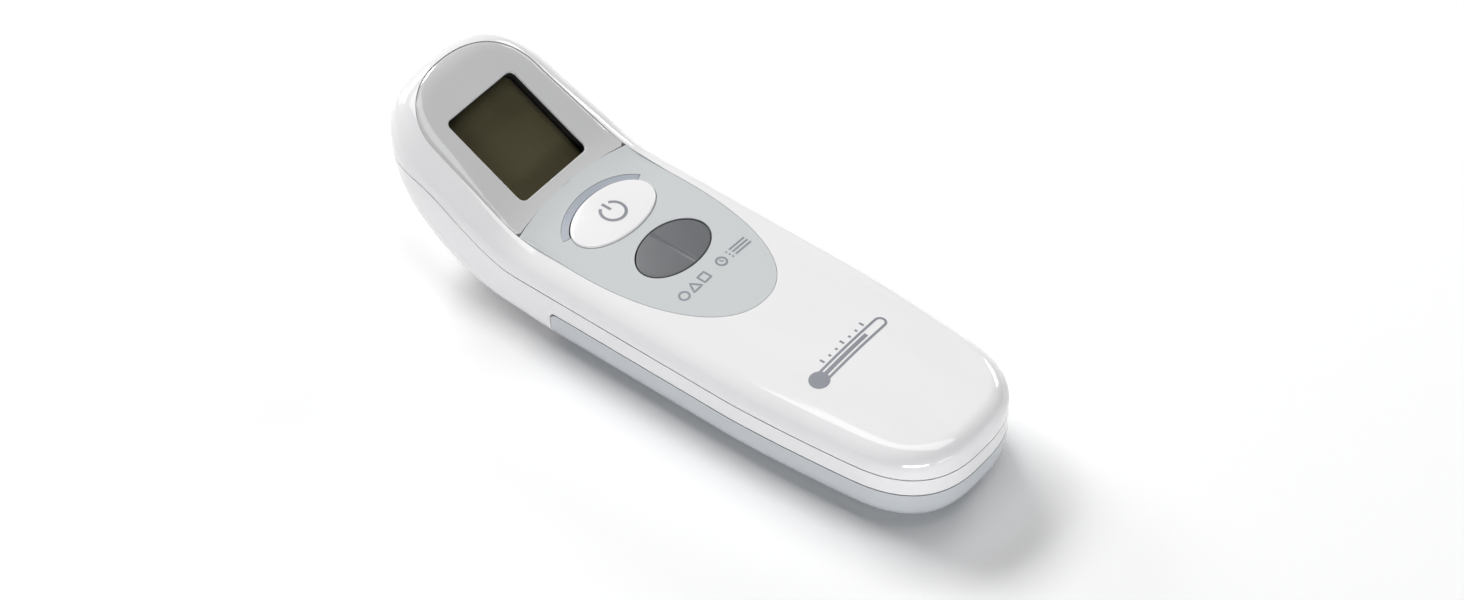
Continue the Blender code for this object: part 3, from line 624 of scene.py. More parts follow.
def spread(nodes, links, source, low, high):
    made = nodes.new("ShaderNodeMapRange")
    made.inputs["To Min"].default_value = low
    made.inputs["To Max"].default_value = high
    links.new(source, made.inputs["Value"])
    return made.outputs["Result"]


def bump(nodes, links, source, strength, distance):
    made = nodes.new("ShaderNodeBump")
    made.inputs["Strength"].default_value = strength
    made.inputs["Distance"].default_value = distance
    links.new(source, made.inputs["Height"])
    return made.outputs["Normal"]


def plastic(name, colour, roughness, mottle=0.015, grain=0.0, grain_scale=4000.0):
    """Moulded plastic: a faint flow mottle, slightly uneven gloss, and a fine grain where it is matt."""
    made, nodes, links, shader = new_material(name)
    low = tuple(c * (1.0 - mottle) for c in colour)
    high = tuple(min(1.0, c * (1.0 + mottle)) for c in colour)
    flow = noise(nodes, links, 90.0, 3.0, (1.0, 0.35, 1.0))
    links.new(ramp(nodes, links, flow, ((0.3, low), (0.7, high))), shader.inputs["Base Color"])
    patches = noise(nodes, links, 260.0, 2.0)
    links.new(spread(nodes, links, patches, roughness * 0.85, roughness * 1.15), shader.inputs["Roughness"])
    if grain:
        fine = noise(nodes, links, grain_scale, 1.0)
        links.new(bump(nodes, links, fine, grain, 0.00004), shader.inputs["Normal"])
    return made


def make_looks():
    return {
        "white": plastic("white_gloss_plastic", (0.85, 0.84, 0.845), 0.05),
        "key": plastic("white_key_plastic", (0.87, 0.86, 0.865), 0.14),
        "cover": plastic("cover_grey_plastic", (0.56, 0.585, 0.61), 0.16, 0.02),
        "panel": plastic("panel_grey_plastic", (0.605, 0.63, 0.635), 0.08, 0.012),
        "bezel": plastic("bezel_grey_plastic", (0.60, 0.60, 0.595), 0.05, 0.012),
        "rocker": plastic("rocker_grey_rubber", (0.112, 0.116, 0.124), 0.5, 0.03, 0.25, 9000.0),
        "light": plastic("light_guide_plastic", (0.38, 0.41, 0.46), 0.3, 0.03),
        "black": plastic("black_plastic", (0.012, 0.012, 0.012), 0.45, 0.1, 0.3),
        "ink": plastic("printed_grey_ink", (0.25, 0.26, 0.29), 0.35, 0.03),
    }


LOOK = make_looks()


def metal(name, colour, roughness, grain=(1.0, 1.0, 1.0)):
    """Bare or plated metal with fine drawing marks, stretched along the grain."""
    made, nodes, links, shader = new_material(name)
    marks = noise(nodes, links, 2500.0, 3.0, grain)
    dull = tuple(c * 0.86 for c in colour)
    links.new(ramp(nodes, links, marks, ((0.3, dull), (0.7, colour))), shader.inputs["Base Color"])
    links.new(spread(nodes, links, marks, roughness * 0.7, roughness * 1.3), shader.inputs["Roughness"])
    links.new(bump(nodes, links, marks, 0.15, 0.00003), shader.inputs["Normal"])
    shader.inputs["Metallic"].default_value = 1.0
    return made


def cell_label(name, flipped):
    """A cell's printed sleeve: a dark barrel, a copper band toward the positive end, and bare steel ends."""
    made, nodes, links, shader = new_material(name)
    place = nodes.new("ShaderNodeTexCoord")
    split = nodes.new("ShaderNodeSeparateXYZ")
    links.new(place.outputs["Generated"], split.inputs["Vector"])
    steel, dark, copper = (0.62, 0.62, 0.63), (0.02, 0.022, 0.026), (0.55, 0.24, 0.09)
    along = spread(nodes, links, split.outputs["Y"], 1.0, 0.0) if flipped else split.outputs["Y"]
    stops = ((0.0, steel), (0.02, dark), (0.70, copper), (0.955, steel), (1.0, steel))
    colours = ramp(nodes, links, along, stops)
    colours.node.color_ramp.interpolation = "CONSTANT"
    links.new(colours, shader.inputs["Base Color"])
    wear = noise(nodes, links, 600.0, 3.0)
    links.new(spread(nodes, links, wear, 0.22, 0.36), shader.inputs["Roughness"])
    shader.inputs["Metallic"].default_value = 0.6
    return made


def tracked(name, ground, track, roughness, scale, row):
    """A board or film with rows of conductor tracks that show through its surface."""
    made, nodes, links, shader = new_material(name)
    place = nodes.new("ShaderNodeTexCoord")
    tracks = nodes.new("ShaderNodeTexBrick")
    tracks.inputs["Color1"].default_value = (*ground, 1.0)
    tracks.inputs["Color2"].default_value = (*[c * 0.8 for c in ground], 1.0)
    tracks.inputs["Mortar"].default_value = (*track, 1.0)
    tracks.inputs["Scale"].default_value = scale
    tracks.inputs["Mortar Size"].default_value = 0.06
    tracks.inputs["Row Height"].default_value = row
    links.new(place.outputs["Object"], tracks.inputs["Vector"])
    links.new(tracks.outputs["Color"], shader.inputs["Base Color"])
    links.new(bump(nodes, links, tracks.outputs["Fac"], 0.3, 0.00003), shader.inputs["Normal"])
    gloss = noise(nodes, links, 900.0)
    links.new(spread(nodes, links, gloss, roughness * 0.8, roughness * 1.2), shader.inputs["Roughness"])
    return made


def dress_inside():
    """Gives every CAD node its slot's node-based material. The nodes that a piece replaces don't show."""
    looks = {
        "black_plastic": LOOK["black"],
        "backlight_plastic": plastic("backlight_plastic", (0.78, 0.82, 0.76), 0.4, 0.03),
        "circuit_board": tracked(
            "circuit_board", (0.012, 0.10, 0.035), (0.03, 0.22, 0.07), 0.35, 300.0, 0.25
        ),
        "flex_film": tracked("flex_film", (0.42, 0.19, 0.04), (0.62, 0.34, 0.12), 0.3, 500.0, 0.5),
        "steel": metal("stamped_steel", (0.62, 0.62, 0.64), 0.28),
        "nickel": metal("nickel_plate", (0.70, 0.68, 0.63), 0.24, (1.0, 0.2, 1.0)),
        "led_resin": plastic("led_resin", (0.78, 0.74, 0.52), 0.2, 0.05),
        "probe_glass": plastic("probe_glass", (0.03, 0.03, 0.045), 0.06, 0.1),
        "gold": metal("gold_plate", (0.86, 0.62, 0.26), 0.15, (1.0, 1.0, 0.2)),
        "brass": metal("turned_brass", (0.74, 0.55, 0.26), 0.26),
        "rubber": plastic("black_rubber", (0.018, 0.018, 0.019), 0.7, 0.15, 0.5, 5000.0),
    }
    for entry in frame["record"]["subparts"]:
        node, name = frame["nodes"][entry["node"]], entry["material_slot"]
        if name == "cell_label":
            look = cell_label(entry["node"] + "_sleeve", entry["node"] == "battery_cell_right")
        else:
            look = looks.get(name)
        if look:
            for place in node.material_slots:
                place.material = look


# ---- shells ----


def below_seam(margin):
    """Everything under the parting surface, or over it when margin is negative."""
    away = -60.0 if margin > 0 else 60.0
    count = 60
    ys = [TAIL_Y - 5.0]
    ys += [SEAM_RISE[0] + (SEAM_RISE[1] - SEAM_RISE[0]) * i / count for i in range(count + 1)]
    ys.append(BEYOND_TAIL)
    outline = [(y, seam_height(y) + margin) for y in ys]
    return side_prism(outline + [(ys[-1], away), (ys[0], away)], BEYOND_SIDE)


def flared(outline, low, surface, flare, reach=0.3):
    """A cutter with straight walls that opens into a small chamfer where it leaves the surface."""
    wide = shifted(outline, flare + reach)
    rings = [level(outline, low), level(outline, lambda x, y: surface(x, y) - flare)]
    rings += [level(wide, lambda x, y: surface(x, y) + reach), level(wide, 14.0)]
    return loft(rings, caps=True)


def head_surface(x, s):
    return SKIN.height(x, s, HEAD_FRAME)


def handle_surface(x, y):
    return SKIN.height(x, y)


def power_hole():
    """The power button's hole with the light arc's slot on its head side, as one outline."""
    start = LIGHT_ENDS - LIGHT_SLOT_END
    slot = (LIGHT_SEMI[0] + LIGHT_SLOT_GAP, LIGHT_SEMI[1] + LIGHT_SLOT_GAP)
    button = (POWER_SEMI[0] + POWER_HOLE_GAP, POWER_SEMI[1] + POWER_HOLE_GAP)
    upper = ellipse(slot, steps=48, start=start, end=180.0 - start)
    return upper + ellipse(button, steps=56, start=180.0 - start, end=360.0 + start)


def rocker_hole():
    semi = (ROCKER_SEMI[0] + ROCKER_HOLE_GAP[0], ROCKER_SEMI[1] + ROCKER_HOLE_GAP[1])
    return ellipse(semi, (0.0, ROCKER_Y), 80)


def make_front_shell():
    shell = solid("front_shell_skin", body())
    ledge = box((-19.0, -3.0, HEAD_CEILING), (19.0, BEZEL_TOP_S + 1.0, 8.0))
    cavity = less(
        solid("front_cavity", body(WALL, COARSE)),
        box(*CEILING_BOX),
        placed(ledge, HEAD_FRAME),
    )
    opening = rounded_rectangle(LCD_HALF_WIDTH + GAP, LCD_S[0] - GAP, LCD_S[1] + GAP, 1.0)
    less(
        shell,
        cavity,
        below_seam(GAP / 2),
        flared(panel_outline(PANEL_GAP, -0.4), PANEL_FLOOR, handle_surface, 0.04),
        placed(flared(bezel_outline(PANEL_GAP), BEZEL_FLOOR, head_surface, 0.04), HEAD_FRAME),
        placed(prism(opening, -6.0, 1.0), HEAD_FRAME),
        prism(power_hole(), *KEY_CUT),
        prism(rocker_hole(), *KEY_CUT),
    )
    piece(shell, "body", LOOK["white"], "white_shell", "front_shell", on_skin=True)


def cover_side(shrink, radius=COVER_CORNER):
    """Side view of the space that the battery cover fills, with its top front corner rounded."""
    top = COVER_EDGE_Z + GAP / 2 - shrink
    front = COVER_FRONT_Y + GAP / 2 - shrink
    corner = []
    for i in range(13):
        a = i * math.pi / 24
        corner.append((front - radius + radius * math.cos(a), top - radius + radius * math.sin(a)))
    return [(-BEYOND_TAIL, -BEYOND_SIDE), (front, -BEYOND_SIDE)] + corner + [(-BEYOND_TAIL, top)]


def make_rear_shell():
    shell = solid("rear_shell_skin", body())
    cavity = less(
        solid("rear_cavity", body(WALL, COARSE)),
        box((-BEYOND_SIDE, -BEYOND_TAIL, -BEYOND_SIDE), (BEYOND_SIDE, COVER_FRONT_Y + BULKHEAD, DECK_TOP)),
    )
    cuts = [
        cavity,
        below_seam(-GAP / 2),
        side_prism(cover_side(0.0), BEYOND_SIDE),
        box(*TRAY_OPENING),
        placed(cylinder(COLLAR_RADIUS + GAP, -5.0, 8.0, 96), PROBE_FRAME),
    ]
    for y in SCREW_YS:
        for side in (-1, 1):
            cuts.append(placed(cylinder(SCREW_HOLE, -14.0, -6.0), at(side * SCREW_X, y)))
    less(shell, *cuts)
    piece(shell, "body", LOOK["white"], "white_shell", "rear_shell", on_skin=True)


def cover_grooves():
    """Thumb grooves and an arrow toward the tail, cut into the cover's flat underside."""
    grooves = []
    top, below = -THICKNESS + GROOVE_DEPTH, -THICKNESS - 2.0
    for i in range(GROOVES):
        y = GROOVE_START - GROOVE_STEP * i
        half = GROOVE_HALF_WIDTH - GROOVE_SHRINK * abs(i - (GROOVES - 1) / 2)
        outline = rounded_rectangle(half, y - GROOVE_HALF_LENGTH, y + GROOVE_HALF_LENGTH, 0.49)
        wide = shifted(outline, 0.3)
        rings = [level(outline, top), level(wide, -THICKNESS - 0.1), level(wide, below)]
        grooves.append(loft(rings, caps=True))
    head = [(0.0, -34.0), (4.0, -29.5), (1.4, -29.5)]
    arrow = head + [(1.4, -27.2), (-1.4, -27.2)] + [(-x, y) for x, y in reversed(head[1:])]
    grooves.append(prism(arrow, below, top))
    return grooves


def make_battery_cover():
    cover = carve(
        solid("battery_cover_skin", body()),
        ("INTERSECT", side_prism(cover_side(GAP), BEYOND_SIDE)),
        ("DIFFERENCE", body(COVER_WALL, COARSE)),
        *[("DIFFERENCE", groove) for groove in cover_grooves()],
    )
    piece(cover, "cover", LOOK["cover"], "cover_plastic", "battery_cover", on_skin=True)


# ---- controls ----


def rounded_wall(outline, low, top, edge, steps):
    """Rings of an upright wall with a rounded upper edge, under a face that follows the top function."""
    rings = [level(outline, low)]
    for i in range(steps + 1):
        a = i * math.pi / 2 / steps
        ring = shifted(outline, -edge * (1.0 - math.cos(a)))
        rings.append(level(ring, lambda x, y: top(x, y) - edge * (1.0 - math.sin(a))))
    return rings


def split_faces(mesh, axis, places):
    """Cuts all faces where they cross the planes at the given places along an axis."""
    for place in places:
        normal = Vector((0.0, 0.0, 0.0))
        normal[axis] = 1.0
        geometry = mesh.verts[:] + mesh.edges[:] + mesh.faces[:]
        bmesh.ops.bisect_plane(mesh, geom=geometry, plane_co=normal * place, plane_no=normal)


def crowned_plate(outline, low, edge=0.12, steps=4):
    """A plate with a flat back whose face follows the body's skin and is rounded over at its edge."""
    mesh = loft(rounded_wall(outline, low, handle_surface, edge, steps), caps=True)
    split_faces(mesh, 0, [-PANEL_HALF_WIDTH + 0.5 * i for i in range(1, 68)])
    split_faces(mesh, 1, [4.0 + i for i in range(1, 10)])
    for vert in mesh.verts:
        if vert.co.z > low + 0.5 and len(vert.link_faces) and vert.normal.z > 0.9:
            vert.co.z = handle_surface(vert.co.x, vert.co.y)
    return mesh


def make_keypad_panel():
    panel = solid("keypad_panel_face", crowned_plate(panel_outline(), PANEL_BOTTOM))
    less(
        panel,
        flared(power_hole(), -6.0, handle_surface, 0.05),
        flared(rocker_hole(), -6.0, handle_surface, 0.05),
    )
    piece(panel, "body", LOOK["panel"], "panel_plastic", "keypad_panel", on_skin=True)


def handle_top(x, y):
    return -crown(x)


def power_top(x, y):
    """The power button's domed face, without its rounded edge."""
    u = min(1.0, math.hypot(x / POWER_SEMI[0], y / POWER_SEMI[1]))
    return handle_top(x, y) + POWER_DOME - POWER_FALL * (1.0 - math.sqrt(1.0 - 0.5 * u * u))


def make_power_button():
    outline, rows = ellipse(POWER_SEMI), 14
    rings = rounded_wall(outline, POWER_LOW, power_top, POWER_EDGE, 6)
    inner = shifted(outline, -POWER_EDGE)
    for i in range(1, rows + 1):
        scale = 1.0 - i / rows
        rings.append(level([(x * scale, y * scale) for x, y in inner], power_top))
    mesh = loft(rings, merge=1e-4)
    bmesh.ops.holes_fill(mesh, edges=mesh.edges)
    flange = [(x, min(y, POWER_FLANGE_END)) for x, y in ellipse(POWER_FLANGE, steps=56)]
    stem = cylinder(POWER_STEM_RADIUS, KEY_STEM_BOTTOM, -4.0)
    key = carve(solid("power_button_key", mesh), ("UNION", prism(flange, *POWER_FLANGE_Z)), ("UNION", stem))
    piece(key, "power_key", LOOK["key"], "white_key", "power_button")


def rocker_top(x, y):
    """Two flat facets that fall away from a fine raised rib along the middle."""
    ridge = RIDGE * (1.0 - abs(x) / ROCKER_SEMI[0])
    rib = RIB[1] * max(0.0, 1.0 - (x / RIB[0]) ** 2)
    return handle_top(x, y) - ROCKER_LOW + ridge + rib


def make_rocker():
    outline = ellipse(ROCKER_SEMI, (0.0, ROCKER_Y))
    mesh = loft(rounded_wall(outline, ROCKER_BOTTOM, rocker_top, ROCKER_EDGE, 6), caps=True)
    right = (0.04, 0.08, 0.12, 0.16, 0.4, 1.0, 3.0, 6.0)
    split_faces(mesh, 0, [-x for x in reversed(right)] + [0.0, *right])
    for vert in mesh.verts:
        u = vert.co.x / (ROCKER_SEMI[0] - ROCKER_EDGE)
        v = (vert.co.y - ROCKER_Y) / (ROCKER_SEMI[1] - ROCKER_EDGE)
        if vert.co.z > -1.0 and math.hypot(u, v) < 1.005:
            vert.co.z = rocker_top(vert.co.x, vert.co.y)
    wide = ellipse((ROCKER_SEMI[0] + ROCKER_FLANGE, ROCKER_SEMI[1] + ROCKER_FLANGE), (0.0, ROCKER_Y), 56)
    added = [prism(wide, *ROCKER_FLANGE_Z)]
    for side in (-1, 1):
        stem = cylinder(ROCKER_STEM_RADIUS, KEY_STEM_BOTTOM, -4.5)
        added.append(placed(stem, at(side * ROCKER_STEM_X, ROCKER_Y)))
    key = carve(solid("rocker_key", mesh), *[("UNION", part) for part in added])
    piece(key, "rocker_key", LOOK["rocker"], "dark_key", "mode_memory_rocker", sharp=40.0)


def make_light_guide():
    """The crescent window over the button's head side, flush with the panel, with softened upper edges."""
    edge = 0.07
    ends = {"steps": 72, "start": LIGHT_ENDS, "end": 180.0 - LIGHT_ENDS}
    rings = []
    for out, inner in zip(ellipse(LIGHT_SEMI, **ends), ellipse(LIGHT_INNER, **ends)):
        out, inner = Vector(out), Vector(inner)
        across = (out - inner).normalized()
        corners = [(out, -edge), (out - across * edge * 0.3, -edge * 0.3), (out - across * edge, 0.0)]
        corners += [(inner + across * edge, 0.0), (inner + across * edge * 0.3, -edge * 0.3), (inner, -edge)]
        ring = [Vector((spot.x, spot.y, LIGHT_BOTTOM)) for spot in (inner, out)]
        for spot, height in corners:
            top = handle_surface(spot.x, spot.y) - LIGHT_SET_BACK
            ring.append(Vector((spot.x, spot.y, top + height)))
        rings.append(ring)
    arc = solid("fever_light_window", loft(rings, caps=True))
    piece(arc, "body", LOOK["light"], "light_guide_plastic", "fever_light_guide", sharp=20.0)


# ---- display ----


def ray_hit(outline, centre, direction):
    """Where a ray from the centre leaves a closed outline."""
    best = None
    for a, b in zip(outline, outline[1:] + outline[:1]):
        ax, ay = a[0] - centre[0], a[1] - centre[1]
        ex, ey = b[0] - a[0], b[1] - a[1]
        cross = direction[0] * ey - direction[1] * ex
        if abs(cross) < 1e-12:
            continue
        t = (ax * ey - ay * ex) / cross
        u = (ax * direction[1] - ay * direction[0]) / cross
        if t > 0.0 and -1e-9 <= u <= 1.0 + 1e-9 and (best is None or t > best):
            best = t
    return (centre[0] + direction[0] * best, centre[1] + direction[1] * best)


def make_display_bezel():
    """The bezel's face follows the body's skin, with a chamfered rim and a rounded display opening."""
    opening = rounded_rectangle(WINDOW_HALF_WIDTH, *WINDOW_S, WINDOW_CORNER, 8, 22)
    outline = bezel_outline()
    centre = (0.0, sum(WINDOW_S) / 2)
    rim = []
    for x, s in opening:
        rim.append(ray_hit(outline, centre, (x - centre[0], s - centre[1])))
    gap, width, fall, soft, rows = 0.05, 0.8, 0.2, 0.35, 14

    def rim_face(x, s, share):
        """The chamfer fades out toward the crease, where the bezel meets the panel without a step."""
        return head_surface(x, s) - fall * (1.0 - share) * smooth_step((s - 0.8) / 2.5)

    foot = [(x, s - LOW_EDGE_LEAN if s < 1.0 else s) for x, s in shifted(rim, -gap)]
    rings = [level(foot, BEZEL_BOTTOM)]
    for share in (0.0, 0.15, 0.5, 0.85, 1.0):
        rings.append(level(shifted(rim, -gap - width * share), lambda x, s: rim_face(x, s, share)))
    start = shifted(rim, -gap - width - 0.15)
    end = shifted(opening, soft)
    for i in range(rows + 1):
        t = i / rows
        ring = [(a[0] + (b[0] - a[0]) * t, a[1] + (b[1] - a[1]) * t) for a, b in zip(start, end)]
        rings.append(level(ring, head_surface))
    for i in range(1, 7):
        a = i * math.pi / 12
        ring = shifted(opening, soft * (1.0 - math.sin(a)))
        rings.append(level(ring, lambda x, s: head_surface(x, s) - soft * (1.0 - math.cos(a))))
    undercut = shifted(opening, BEZEL_UNDERCUT)
    rings.append(level(opening, lambda x, s: head_surface(x, s) - LENS_EDGE))
    rings.append(level(undercut, lambda x, s: head_surface(x, s) - LENS_EDGE))
    rings.append(level(undercut, BEZEL_BOTTOM))
    bezel = solid("display_bezel_lens", placed(loft(rings, closed=True), HEAD_FRAME))
    piece(bezel, "body", LOOK["bezel"], "bezel_plastic", "display_bezel", on_skin=True)


def window_material():
    made, nodes, links, shader = new_material("clear_window")
    shader.inputs["Base Color"].default_value = (0.02, 0.02, 0.015, 1.0)
    shader.inputs["Roughness"].default_value = 0.03
    smudges = noise(nodes, links, 180.0, 3.0)
    links.new(spread(nodes, links, smudges, 0.10, 0.14), shader.inputs["Alpha"])
    return made


def lcd_material():
    """Olive polarised glass whose tone drifts a little across the screen."""
    made, nodes, links, shader = new_material("lcd_glass")
    drift = noise(nodes, links, 35.0, 1.0)
    stops = ((0.35, (0.108, 0.100, 0.050)), (0.65, (0.130, 0.115, 0.062)))
    links.new(ramp(nodes, links, drift, stops), shader.inputs["Base Color"])
    fine = noise(nodes, links, 6000.0, 1.0)
    links.new(spread(nodes, links, fine, 0.30, 0.42), shader.inputs["Roughness"])
    shader.inputs["Specular IOR Level"].default_value = 0.08
    return made


def frame_ring(name, inner, outer, low, high):
    """A flat frame between two rounded outlines with the same number of points, in the head's frame."""
    rings = [level(inner, low), level(outer, low), level(outer, high), level(inner, high)]
    return solid(name, placed(loft(rings, closed=True), HEAD_FRAME))


def make_display_shroud():
    """Black frames that close the sides of the recess, above the pane and between it and the screen. Their
    black is partly painted shade: it stands in for the shadow inside the recess.
    """
    (low, high), half = WINDOW_S, WINDOW_HALF_WIDTH
    inner, outer = (
        rounded_rectangle(half + grow, low - grow, high + grow, WINDOW_CORNER)
        for grow in (SHROUD_INNER, SHROUD_OUTER)
    )
    # Black wall under the bezel's lip, whose black also paints the shade that falls there.
    wall = frame_ring("display_shroud_painting_shade", inner, outer, PANE[1] + 0.02, SHROUD_TOP)
    piece(wall, "body", LOOK["black"], "black_plastic")
    outer = rounded_rectangle(LCD_HALF_WIDTH, *LCD_S, WINDOW_CORNER)
    # Black border on the screen round the opening, whose black also paints the shade at the recess's edges.
    border = frame_ring("lcd_border_painting_shade", inner, outer, LCD[1], PANE[0] - 0.01)
    piece(border, "body", LOOK["black"], "black_plastic")


def glass_plate(name, low, high):
    """A plate behind the display opening with chamfered edges."""
    outline, edge = rounded_rectangle(LCD_HALF_WIDTH, *LCD_S, 0.8, 6, 4), PLATE_EDGE
    places = ((edge, low), (0.0, low + edge), (0.0, high - edge), (edge, high))
    rings = [level(shifted(outline, -inset), height) for inset, height in places]
    return solid(name, placed(loft(rings, caps=True), HEAD_FRAME))


def make_display():
    make_display_bezel()
    make_display_shroud()
    window = glass_plate("display_window_pane", *PANE)
    piece(window, "body", window_material(), "clear_window", "display_window")
    glass = glass_plate("lcd_panel", *LCD)
    piece(glass, "body", lcd_material(), "lcd", "lcd_glass")


# ---- printed marks ----


def stroke(points, width, surface, closed=False):
    """A printed line of even width that follows a surface, through (x, y) points."""
    count = len(points)
    rings = []
    for i, point in enumerate(points):
        before = points[i - 1] if i or closed else point
        after = points[(i + 1) % count] if i + 1 < count or closed else point
        along = (Vector(after) - Vector(before)).normalized()
        side = Vector((-along.y, along.x)) * width / 2
        left, right = Vector(point) + side, Vector(point) - side
        ring = []
        for spot, lift in ((left, -MARK_RISE), (left, MARK_RISE), (right, MARK_RISE), (right, -MARK_RISE)):
            ring.append(Vector((spot.x, spot.y, surface(spot.x, spot.y) + lift)))
        rings.append(ring)
    return loft(rings, closed=closed, caps=not closed)


def dot(centre, radius, surface):
    rings = []
    back = [(share, -MARK_RISE) for share in (0.0, 0.5, 1.0)]
    for share, lift in back + [(share, -lift) for share, lift in reversed(back)]:
        ring = ellipse((radius * share, radius * share), centre, 40)
        rings.append(level(ring, lambda x, y: surface(x, y) + lift))
    return loft(rings, merge=1e-5)


def arc_points(centre, radius, start, end, steps=40):
    return ellipse((radius, radius), centre, steps, start, end)


def line_points(start, end, steps=6):
    across, up = end[0] - start[0], end[1] - start[1]
    return [(start[0] + across * i / steps, start[1] + up * i / steps) for i in range(steps + 1)]


def polygon_points(corners, steps=4):
    points = []
    for a, b in zip(corners, corners[1:] + corners[:1]):
        points += line_points(a, b, steps)[:-1]
    return points


def print_marks(name, meshes, ridden, slot):
    """Joins the strokes of one mark into one printed piece."""
    whole = bmesh.new()
    for mesh in meshes:
        data = bpy.data.meshes.new("stroke")
        mesh.to_mesh(data)
        mesh.free()
        whole.from_mesh(data)
        bpy.data.meshes.remove(data)
    piece(solid(name, whole), ridden, LOOK["ink"], slot)


def make_power_symbol():
    ring = stroke(arc_points((0.0, 0.0), POWER_MARK_RADIUS, 118.0, 422.0, 56), POWER_MARK_WIDTH, power_top)
    bar = stroke(line_points((0.0, 0.6), (0.0, 3.0)), POWER_MARK_WIDTH, power_top)
    print_marks("power_symbol", [ring, bar], "power_key", "white_key")


def make_key_pictograms():
    """Generic signs under the rocker: shapes for the mode half, a clock and a list for the memory half."""
    y, line = KEY_MARK_Y, KEY_MARK_WIDTH
    mode = [stroke(arc_points((-8.9, y), 1.05, 0.0, 360.0, 32), line, handle_surface, True)]
    triangle = [(-7.0, y - 1.0), (-4.5, y - 1.0), (-5.75, y + 1.15)]
    mode.append(stroke(polygon_points(triangle), line, handle_surface, True))
    square = [(-3.6, y - 1.0), (-1.6, y - 1.0), (-1.6, y + 1.0), (-3.6, y + 1.0)]
    mode.append(stroke(polygon_points(square), line, handle_surface, True))
    print_marks("mode_pictogram", mode, "body", "panel_plastic")
    memory = [stroke(arc_points((2.9, y), 1.1, 0.0, 360.0, 32), line, handle_surface, True)]
    memory.append(stroke([(2.9, y + 0.62), (2.9, y), (3.35, y - 0.22)], 0.3, handle_surface))
    for row in (y - LIST_STEP, y, y + LIST_STEP):
        memory.append(dot((5.5, row), 0.24, handle_surface))
        memory.append(stroke(line_points((6.4, row), (11.2, row)), 0.4, handle_surface))
    print_marks("memory_pictogram", memory, "body", "panel_plastic")


def make_thermometer_pictogram():
    """A generic clinical thermometer drawn across the handle: bulb, tube, filling and scale."""
    y, half = SCALE_MARK_Y, SCALE_MARK_HALF
    left, right = SCALE_MARK_X
    tube = [(left, y + half)] + line_points((left + 1.0, y + half), (right - half, y + half), 16)
    tube += arc_points((right - half, y), half, 90.0, -90.0, 16)[1:]
    tube += line_points((right - half, y - half), (left + 1.0, y - half), 16)[1:] + [(left, y - half)]
    meshes = [stroke(tube, 0.55, handle_surface), dot((left - 0.9, y), 2.15, handle_surface)]
    meshes.append(stroke(line_points((left, y), (right - 5.6, y), 16), 0.9, handle_surface))
    for i in range(SCALE_TICKS):
        x = left + 3.2 + 2.1 * i
        end = y + (2.5 if i % 3 else 3.0)
        meshes.append(stroke(line_points((x, y + 1.9), (x, end), 2), 0.5, handle_surface))
    print_marks("thermometer_pictogram", meshes, "body", "white_shell")


# ---- probe ----


def probe_radius(t):
    """Outer radius of the cone, which flares in a gentle curve from tip to base."""
    u = min(max(t / CONE_LENGTH, 0.0), 1.0)
    return PROBE_TIP_RADIUS + (PROBE_BASE_RADIUS - PROBE_TIP_RADIUS) * (1.0 - u) ** 1.5


def make_probe():
    r = COLLAR_RADIUS
    corners = [(r, -2.4, 0), (r, 1.2, 0.5), (r - 0.8, 1.5, 0.4), (7.45, 1.3, 0.15), (7.35, -2.4, 0)]
    collar = solid("probe_collar_ring", placed(turned(rounded(corners)), PROBE_FRAME))
    piece(collar, "body", LOOK["cover"], "cover_plastic", "probe_collar")
    count = 28
    places = [CONE_LENGTH * i / count for i in range(count + 1)]
    profile = [(8.3, -4.8), (8.3, -3.95), (PROBE_BASE_RADIUS, -3.95)] + [(probe_radius(t), t) for t in places]
    profile += [(3.1, CONE_LENGTH), (3.1, 1.0), (5.6, 0.2), (5.6, -4.8)]
    cone = solid("probe_cone_shell", placed(turned(profile), PROBE_FRAME))
    piece(cone, "body", LOOK["white"], "white_shell", "probe_cone")
    outer, inner, back = PROBE_TIP_RADIUS, 2.9, PROBE_LENGTH - 0.6
    corners = [(outer, back, 0), (outer, PROBE_LENGTH, 0.3), (inner, PROBE_LENGTH, 0.3), (inner, back, 0)]
    tip = solid("probe_tip_rim", placed(turned(rounded(corners)), PROBE_FRAME))
    piece(tip, "body", LOOK["light"], "light_guide_plastic", "probe_tip_ring")


# ---- floor and light ----


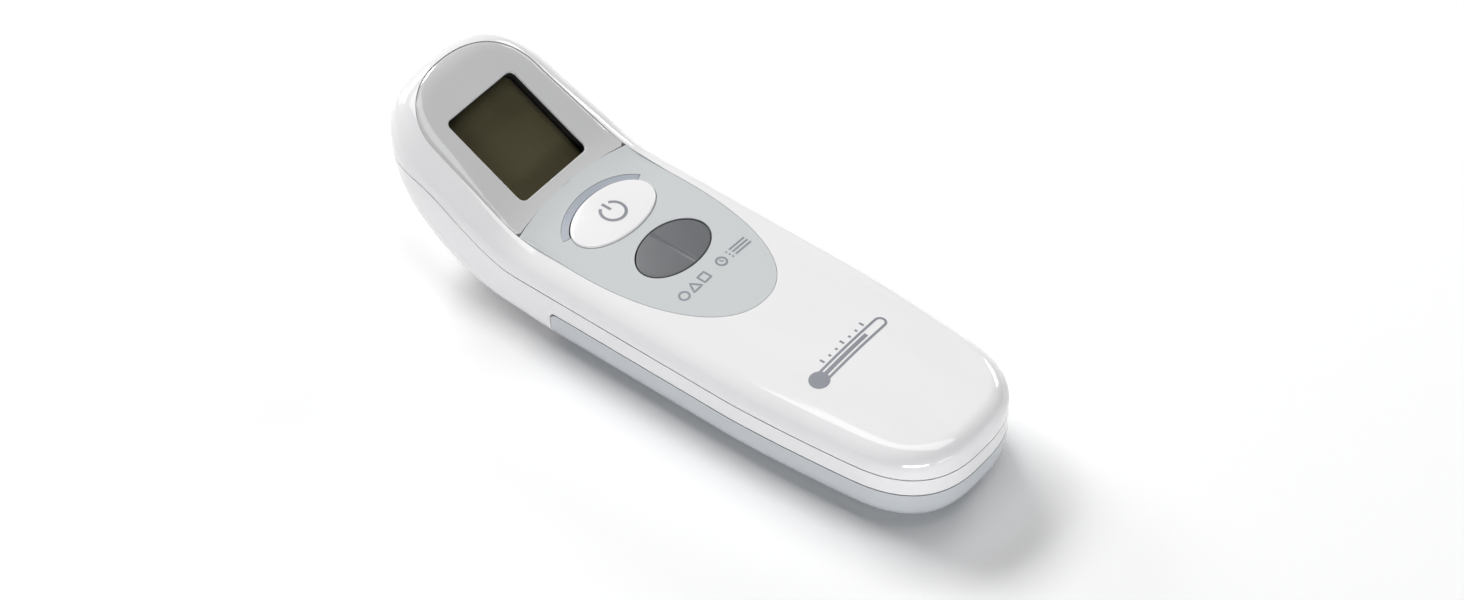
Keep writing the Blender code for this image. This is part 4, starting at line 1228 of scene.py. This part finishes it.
def make_floor():
    data = bpy.data.meshes.new("floor")
    corners = [(x * FLOOR_HALF_SIZE, y * FLOOR_HALF_SIZE, 0) for x, y in ((-1, -1), (1, -1), (1, 1), (-1, 1))]
    data.from_pydata(corners, [], [(0, 1, 2, 3)])
    floor = bpy.data.objects.new("floor", data)
    bpy.context.scene.collection.objects.link(floor)
    made, _, _, shader = new_material("floor_paper")
    shader.inputs["Base Color"].default_value = (0.96, 0.96, 0.96, 1.0)
    shader.inputs["Roughness"].default_value = 0.9
    shader.inputs["Specular IOR Level"].default_value = 0.0
    data.materials.append(made)


def softbox(name, azimuth, elevation, size, power, colour):
    """A rectangular light that faces the part. Azimuth 0 is the head's side (+Y) and 90 is +X."""
    data = bpy.data.lights.new(name, "AREA")
    data.shape = "RECTANGLE"
    data.size, data.size_y = size
    data.energy = power
    data.color = colour
    light = bpy.data.objects.new(name, data)
    bpy.context.scene.collection.objects.link(light)
    turn, rise = math.radians(azimuth), math.radians(elevation)
    direction = Vector((math.sin(turn) * math.cos(rise), math.cos(turn) * math.cos(rise), math.sin(rise)))
    light.location = direction * LIGHT_DISTANCE
    light.rotation_euler = direction.to_track_quat("Z", "Y").to_euler()


def make_light():
    """Softboxes over a world that is dim for the part and white behind the floor's edge."""
    world = bpy.data.worlds.new("studio")
    bpy.context.scene.world = world
    world.use_nodes = True
    nodes, links = world.node_tree.nodes, world.node_tree.links
    ambient, wall = nodes["Background"], nodes.new("ShaderNodeBackground")
    ambient.inputs["Color"].default_value = (*AMBIENT[0], 1.0)
    ambient.inputs["Strength"].default_value = AMBIENT[1]
    wall.inputs["Color"].default_value = (*WHITE, 1.0)
    choice, path = nodes.new("ShaderNodeMixShader"), nodes.new("ShaderNodeLightPath")
    links.new(path.outputs["Is Camera Ray"], choice.inputs["Fac"])
    links.new(ambient.outputs["Background"], choice.inputs[1])
    links.new(wall.outputs["Background"], choice.inputs[2])
    links.new(choice.outputs["Shader"], nodes["World Output"].inputs["Surface"])
    for row in SOFTBOXES:
        softbox(*row)
    bpy.context.scene.view_settings.view_transform = "Standard"


def main():
    make_camera()
    make_front_shell()
    make_rear_shell()
    make_battery_cover()
    make_keypad_panel()
    make_power_button()
    make_rocker()
    make_light_guide()
    make_display()
    make_power_symbol()
    make_key_pictograms()
    make_thermometer_pictogram()
    make_probe()
    dress_inside()
    SKIN.mesh.free()
    make_floor()
    make_light()


main()
